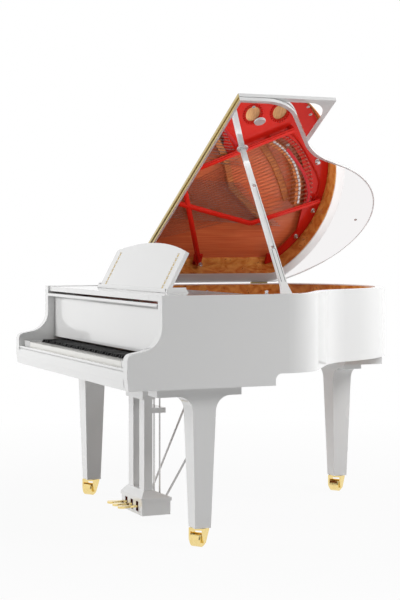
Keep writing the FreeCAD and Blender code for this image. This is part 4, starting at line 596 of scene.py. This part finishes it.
def lid_buttons():
    """Rubber rest buttons and a knob under the lid, and the rolled rims of the two prop cups."""
    shape = bmesh.new()
    for x, y in REST_BUTTONS:
        turned(shape, ((7, 0), (7, 1.6), (5.6, 2.8), (2, 3.4)), on_lid(x, y, 0), LID_DOWN)
    shown("lid_rest_buttons", shape, RUBBER, "lid")
    shape = bmesh.new()
    turned(shape, ((12, 0), (12, 2), (10, 3.4), (6, 3.6), (4, 5), (1.5, 5.4)), on_lid(*LID_KNOB, 0),
           LID_DOWN, 24)
    for x in (CUP_X, CUP_X + CUP_STEP):
        turned(shape, ((25, 0), (25, 2.4), (24, 3.8), (22.5, 4.2)), on_lid(x, PROP_Y, 0), LID_DOWN, 28)
    shown("prop_cup_rims", shape, STEEL, "lid")


def lid_mirror_sheet():
    """Mirror under the lid, whose border runs out round the tail."""
    shape = bmesh.new()
    shape.from_mesh(nodes["lid_mirror"].data)
    bmesh.ops.remove_doubles(shape, verts=shape.verts, dist=WELD / 1000)
    shape.normal_update()
    shifts = []
    for vertex in shape.verts:
        edges = [face.normal for face in vertex.link_faces if abs(face.normal.dot(LID_DOWN)) < EDGE_TILT]
        spot = vertex.co * 1000 + ORIGIN
        tail = min(max((spot.y - TAIL_FROM) / TAIL_RUN, 0), 1)
        tail *= min(max((spot.x - SPINE_FROM) / SPINE_RUN, 0), 1)
        shifts.append(sum(edges, Vector()).normalized() * tail * MIRROR_BORDER + LID_DOWN * MIRROR_PROUD)
    for vertex, shift in zip(shape.verts, shifts):
        vertex.co += shift / 1000
    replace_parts(shown("lid_mirror_sheet", shape, MIRROR, "lid"), "lid_mirror")


def flap_spandrels():
    """Lacquered spandrels that round the corners of the mirror in the folded flap."""
    shape = bmesh.new()
    for x, right in zip(FLAP_PANEL_X, (1, -1)):
        for y, back in zip(FLAP_PANEL_Y, (1, -1)):
            plan = [(x, y)]
            for i in range(SPANDREL_STEPS + 1):
                turn = math.radians(90) * i / SPANDREL_STEPS
                plan.append((x + right * FLAP_PANEL_R * (1 - math.sin(turn)),
                             y + back * FLAP_PANEL_R * (1 - math.cos(turn))))
            skin(shape, [[shape.verts.new(on_lid(u, v, sunk - FLAP_PANEL_RISE)) for u, v in plan]
                         for sunk in SPANDREL_FACES])
    shown("flap_mirror_spandrels", shape, LACQUER, "lid_flap")


def plate_trim():
    """Bead rings and dishes at the sound holes, raised bead on the hitch web, and acorn nuts on the plate."""
    shape = bmesh.new()
    for x, y in ROSES:
        for spot in round_path(x, y, ROSE_R + 9, PLATE_TOP, 24):
            turned(shape, ((6, 0), (5.6, 3), (4, 5.6), (1.4, 6.8)), place(*spot), sides=10)
        swept(shape, round_path(x, y, ROSE_R + 1.4, PLATE_TOP, 40),
              ((-1.4, -3), (1.4, -3), (1.4, 2), (0.6, 3), (-0.6, 3), (-1.4, 2)), True)
    swept(shape, rounded(HITCH_WEB, PLATE_TOP),
          ((-5, 0), (5, 0), (4.4, 4), (2.4, 7), (0, 8), (-2.4, 7), (-4.4, 4)))
    shown("plate_beading", shape, PLATE, "case")
    shape = bmesh.new()
    for x, y in ROSES:
        turned(shape, ((46, 0), (46, 19), (40, 19), (30, 12), (16, 8), (1, 7)), place(x, y, BOARD_TOP),
               sides=32)
    shown("sound_hole_dishes", shape, MAPLE, "case")
    shape = bmesh.new()
    for bolt in BOLTS:
        base = place(*bolt)
        turned(shape, ((13, 0), (13, 2), (12, 2.6), (9, 2.6)), base, sides=20)
        turned(shape, ((9, 2.6), (9, 9), (8, 9.6)), base, sides=6)
        turned(shape, ((7.4, 9.6), (7, 13), (5, 16.4), (1.6, 18)), base)
    shown("plate_acorn_nuts", shape, STEEL, "case")


def cast_struts():
    """Bars of the plate with a flatter crown than their blanks and the round edges of a casting."""
    shape = bmesh.new()
    shape.from_mesh(nodes["plate_struts"].data)
    bmesh.ops.remove_doubles(shape, verts=shape.verts, dist=WELD / 1000)
    bmesh.ops.dissolve_limit(shape, angle_limit=FLAT_ANGLE, verts=shape.verts, edges=shape.edges)
    for vertex in shape.verts:
        above = vertex.co.z - STRUT_FOOT / 1000
        vertex.co.z -= max(above, 0) * (1 - STRUT_FLAT)
    sharp = [edge for edge in shape.edges if edge.calc_face_angle(0.0) > SHARP_ANGLE]
    bmesh.ops.bevel(shape, geom=sharp, offset=STRUT_ROUND / 1000, segments=3, profile=0.5, affect="EDGES",
                    clamp_overlap=True)
    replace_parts(shown("plate_cast_struts", shape, PLATE, "case"), "plate_struts")


def strings(node):
    """Front and rear end of each string in a node, in drawing coordinates."""
    spots = [vertex.co * 1000 + ORIGIN for vertex in nodes[node].data.vertices]
    ends = []
    for i in range(0, len(spots), STRING_CORNERS):
        corners = sorted(spots[i:i + STRING_CORNERS], key=lambda spot: spot.y)
        half = STRING_CORNERS // 2
        ends.append((sum(corners[:half], Vector()) / half, sum(corners[half:], Vector()) / half))
    return ends


def steps_along(front, rear, step, count):
    """Points a step in mm apart along a string, from its rear end."""
    return [rear.lerp(front, i * step / (rear - front).length) for i in range(count)]


def string_furniture():
    """Pins of each string on its bridge and at its end, listing felt, and the bass bridge's cap and apron."""
    bridge = surface_of("bridges")
    plate = surface_of("plate")
    shape = bmesh.new()
    for node in ("treble_strings", "bass_strings"):
        for front, rear in strings(node):
            held = [spot for spot in steps_along(front, rear, 4, 40) if height_on(bridge, spot)]
            for spot in held[:1] + held[-1:]:
                turned(shape, ((1.5, 0), (1.5, 5), (0.8, 5.8)),
                       place(spot.x + 2.4, spot.y, height_on(bridge, spot)), sides=8)
            if height_on(plate, rear):
                turned(shape, ((2.4, 0), (2.4, rear.z - PLATE_TOP + 3), (1.4, rear.z - PLATE_TOP + 4.2)),
                       place(rear.x, rear.y, PLATE_TOP), sides=8)
    shown("bridge_and_hitch_pins", shape, STEEL, "case")
    shape = bmesh.new()
    held = []
    for front, rear in strings("bass_strings"):
        held.append([spot for spot in steps_along(front, rear, 2, 90) if height_on(bridge, spot)][:6][-1])
    swept(shape, rounded([(spot.x, spot.y) for spot in held[::4] + held[-1:]], height_on(bridge, held[0])),
          ((-6, 0), (6, 0), (6, 1), (4, 1.4), (-4, 1.4), (-6, 1)))
    shown("bass_bridge_cap", shape, STEEL, "case")
    shape = bmesh.new()
    bass_z = strings("bass_strings")[0][0].z
    swept(shape, rounded(LISTING, bass_z - 3), ((-8, 0), (8, 0), (8, 5), (6, 7), (-6, 7), (-8, 5)))
    swept(shape, rounded(TREBLE_LISTING, PLATE_TOP),
          ((-7, 0), (7, 0), (7, 3), (5, 5), (-5, 5), (-7, 3)))
    shown("listing_felt", shape, RED_FELT, "case")
    shape = bmesh.new()
    swept(shape, rounded(BASS_APRON, BOARD_TOP),
          ((-17, 0), (17, 0), (17, 10), (14, 13), (-14, 13), (-17, 10)))
    shown("bass_bridge_apron", shape, BEECH, "case")


def unison_strings():
    """Round wires of each note: three of plain steel in the treble, two copper-wound in the bass."""
    for node, material, slot, radius, shifts in (
            ("treble_strings", WIRE, "steel wire", 0.55, (-2.6, 0, 2.6)),
            ("bass_strings", COPPER, "copper wound wire", 1.1, (-2.4, 2.4))):
        shape = bmesh.new()
        for front, rear in strings(node):
            run = (rear - front).normalized()
            for shift in shifts:
                spot = place(front.x + shift * run.y, front.y - shift * run.x, front.z)
                turned(shape, ((radius, 0), (radius, (rear - front).length)), spot, run, 8)
        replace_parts(shown(node + "_unisons", shape, material, "case"), node)


def on_desk(x, rise, out):
    """Place in front of the leaning music desk's face, from its foot up."""
    back = -DESK_THICK / 2 - out
    up = rise - DESK_HEEL
    return place(x, DESK_PIVOT_Y + back * math.cos(DESK_LEAN) + up * math.sin(DESK_LEAN),
                 DESK_PIVOT_Z - back * math.sin(DESK_LEAN) + up * math.cos(DESK_LEAN))


def desk_inlay():
    """Faceted gilt lozenges with a bead between each pair, in a strip up both sides of the desk."""
    shape = bmesh.new()
    face = Vector((0, -math.cos(DESK_LEAN), math.sin(DESK_LEAN)))
    for x in (-INLAY_X, INLAY_X):
        for i in range(INLAY_COUNT):
            rise = INLAY_FIRST + INLAY_PITCH * i
            corners = [shape.verts.new(on_desk(x + aside, rise + up, 0)) for aside, up in LOZENGE]
            peak = shape.verts.new(on_desk(x, rise, 2.2))
            for j in range(4):
                shape.faces.new((corners[j - 1], corners[j], peak))
            shape.faces.new(corners)
            for side in (-7, 7):
                turned(shape, ((2.4, 0), (2.2, 0.9), (1.4, 1.7), (0.5, 2)),
                       on_desk(x + side, rise + 9, 0), face, 10)
    shown("desk_gilt_inlay", shape, GOLD_LEAF, "music_desk")


def desk_ledge():
    """Rounded book ledge along the desk's foot, let down to just above the shelf."""
    shape = bmesh.new()
    foot = height_on(surface_of("music_shelf"), Vector((0, LEDGE_FRONT, 0))) + LEDGE_CLEAR
    ends = []
    for x in (-LEDGE_HALF, LEDGE_HALF):
        corners = [place(x, LEDGE_BACK, foot), place(x, LEDGE_FRONT, foot)]
        corners += [on_desk(x, rise, out) for out, rise in ((9.6, 2.6), (10, 4), (9, 5.6), (0, 8))]
        ends.append([shape.verts.new(corner) for corner in corners])
    skin(shape, ends)
    shown("desk_book_ledge", shape, LACQUER, "music_desk")


def slip_bead():
    """Rounded bead along the key slip's top, in front of the keys."""
    shape = bmesh.new()
    section = ((2, 0), (20, 0), (20, 5), (18, 8), (11, 9.5), (4, 8), (2, 5))
    skin(shape, [[shape.verts.new(place(x, y, SLIP_TOP + rise)) for y, rise in section]
                 for x in (-SLIP_HALF, SLIP_HALF)])
    shown("key_slip_bead", shape, LACQUER, "case")


def prop_slot_shade():
    """Grey felt let into the prop's outer face as a long round-topped loop: painted shade that stands in for
    the shadow lines of a slot's groove.
    """
    shape = bmesh.new()
    turns = [math.pi * i / 10 for i in range(11)]
    arch = [(-math.cos(turn), math.sin(turn), SLOT_SHADE_HIGH) for turn in turns]
    rings = []
    for side, rise, base in [(-1, 0, SLOT_SHADE_LOW)] + arch + [(1, 0, SLOT_SHADE_LOW)]:
        ring = []
        for radius, out in ((7.4, -0.3), (10, -0.3), (10, 0.4), (7.4, 0.4)):
            up = base + rise * radius
            away = PROP_FACE + out
            ring.append(shape.verts.new(place(
                PROP_X - up * math.sin(PROP_LEAN) + away * math.cos(PROP_LEAN), PROP_Y + side * radius,
                PROP_Z + up * math.cos(PROP_LEAN) + away * math.sin(PROP_LEAN))))
        rings.append(ring)
    skin(shape, rings)
    shown("prop_painted_slot_shade", shape, SLOT_SHADE_FELT, "lid_prop")


def pedal_slot_felts():
    """Felt linings that quieten the pedals in the slots of the lyre box."""
    shape = bmesh.new()
    for x in PEDAL_SLOTS:
        loops = []
        for y, inset in ((SLOT_FRONT, 0), (SLOT_FRONT, SLOT_FELT), (SLOT_BACK, SLOT_FELT), (SLOT_BACK, 0)):
            left = x - SLOT_HALF + inset
            right = x + SLOT_HALF - inset
            low = SLOT_LOW + inset
            top = SLOT_HIGH - inset
            corners = ((left, low), (right, low), (right, top), (left, top))
            loops.append([shape.verts.new(place(u, y, z)) for u, z in corners])
        skin(shape, loops, True)
    shown("pedal_slot_felts", shape, DARK_FELT, "case")


def rim_post():
    """Turned post on the treble rim that finds the closed lid."""
    shape = bmesh.new()
    turned(shape, ((8, 0), (8, 1.5), (5, 2.2), (5, 7), (7.5, 8.5), (7.5, 11), (5.5, 13), (1.5, 14)),
           resting("outer_rim", *FINDER_POST))
    shown("lid_finder_post", shape, STEEL, "case")


lid_buttons()
lid_mirror_sheet()
flap_spandrels()
plate_trim()
cast_struts()
string_furniture()
unison_strings()
desk_inlay()
desk_ledge()
slip_bead()
# Painted shade: a grey loop on the prop in place of a slot's shadow lines
prop_slot_shade()
pedal_slot_felts()
rim_post()


# Light strengths: 1 is white to the camera; the room is darker for reflections towards the treble side
FLOOR_WHITE = 1.0
FLOOR_GLOW = 0.94
ROOM_LOW = 0.03
ROOM_HIGH = 0.45
ROOM_BEHIND = 0.3
FLOOR_SIZE = 400
FLOOR_DROP = 0.0005
SHADOW_NEAR = 1.2
SHADOW_FAR = 3.5


def floor_and_room():
    """Pale floor with a soft shadow that runs out into white, and a room brighter above than at the sides."""
    made, tree, where = start("pale_floor")
    path = add(tree, "ShaderNodeLightPath")
    seen = add(tree, "ShaderNodeMath", {0: path.outputs["Is Camera Ray"], 1: path.outputs["Is Glossy Ray"]},
               operation="MAXIMUM")
    away = add(tree, "ShaderNodeVectorMath", {0: where}, operation="LENGTH")
    glare = add(tree, "ShaderNodeMapRange", {
        "Value": away.outputs["Value"], "From Min": SHADOW_NEAR, "From Max": SHADOW_FAR,
        "To Min": FLOOR_GLOW, "To Max": 1.0})
    share = add(tree, "ShaderNodeMath", {0: seen.outputs[0], 1: glare.outputs[0]}, operation="MULTIPLY")
    lit = add(tree, "ShaderNodeBsdfDiffuse", {"Color": linear("#BCBCBC")})
    glow = add(tree, "ShaderNodeEmission", {"Color": linear("#FFFFFF"), "Strength": FLOOR_WHITE})
    mix = add(tree, "ShaderNodeMixShader", {0: share.outputs[0], 1: lit.outputs[0], 2: glow.outputs[0]})
    add(tree, "ShaderNodeOutputMaterial", {"Surface": mix.outputs[0]})
    bpy.ops.mesh.primitive_plane_add(size=FLOOR_SIZE, location=(0, 0, cad_low.z - FLOOR_DROP))
    floor = bpy.context.object
    floor.name = "floor"
    floor.data.materials.append(made)
    world = bpy.data.worlds.new("room")
    world.use_nodes = True
    bpy.context.scene.world = world
    tree = world.node_tree
    tree.nodes.clear()
    path = add(tree, "ShaderNodeLightPath")
    direct = add(tree, "ShaderNodeMath", {
        0: path.outputs["Is Camera Ray"], 1: path.outputs["Is Transmission Ray"]}, operation="MAXIMUM")
    way = add(tree, "ShaderNodeTexCoord")
    parts = add(tree, "ShaderNodeSeparateXYZ", {0: way.outputs["Generated"]})
    light = add(tree, "ShaderNodeMapRange", {"Value": parts.outputs["Z"], "From Min": 0.0, "From Max": 1.0,
                                             "To Min": ROOM_LOW, "To Max": ROOM_HIGH})
    shade = add(tree, "ShaderNodeMapRange", {"Value": parts.outputs["X"], "From Min": 0.3, "From Max": 0.9,
                                             "To Min": 1.0, "To Max": ROOM_BEHIND})
    gloss = add(tree, "ShaderNodeMix", {
        0: path.outputs["Is Glossy Ray"], 2: light.outputs[0], 3: shade.outputs[0]})
    strength = add(tree, "ShaderNodeMix", {0: direct.outputs[0], 2: gloss.outputs[0], 3: 1.0})
    back = add(tree, "ShaderNodeBackground", {"Color": linear("#FFFFFF"), "Strength": strength.outputs[0]})
    add(tree, "ShaderNodeOutputWorld", {"Surface": back.outputs[0]})


def softbox(name, spot, target, size, power):
    """Square softbox lamp aimed at a point."""
    data = bpy.data.lights.new(name, "AREA")
    data.shape = "SQUARE"
    data.size = size
    data.energy = power
    lamp = bpy.data.objects.new(name, data)
    bpy.context.scene.collection.objects.link(lamp)
    lamp.location = spot
    lamp.rotation_mode = "QUATERNION"
    lamp.rotation_quaternion = (Vector(target) - Vector(spot)).to_track_quat("-Z", "Y")
    lamp.visible_camera = False
    lamp.visible_glossy = False


floor_and_room()
softbox("front", (-2.5, -6.0, 2.2), (0, -0.3, 0.8), 4.0, 247)
softbox("rear", (-0.2, 6.0, 3.0), (0, 0.4, 0.8), 4.0, 195)
softbox("treble_side", (4.2, 3.8, 4.8), (0, 0.3, 0.9), 3.0, 240)
softbox("under_lid", (-0.05, 0.3, 1.33), (0.47, 0.3, 0.47), 0.9, 3.0)


EYE = (5948.7, -1936.4, 1187.8)
EYE_TURN = math.radians(66.73)
LENS = 87.9
SENSOR = 36.0
FRAME_DROP = -0.0933


def camera():
    """Level view from the treble side, with the frame dropped below the lens axis."""
    data = bpy.data.cameras.new("camera")
    data.sensor_width = SENSOR
    data.lens = LENS
    data.shift_y = FRAME_DROP
    data.clip_end = FLOOR_SIZE
    made = bpy.data.objects.new("camera", data)
    bpy.context.scene.collection.objects.link(made)
    made.location = place(*EYE)
    made.rotation_euler = (math.radians(90), 0, EYE_TURN)
    bpy.context.scene.camera = made


camera()
bpy.context.scene.view_settings.view_transform = "Standard"
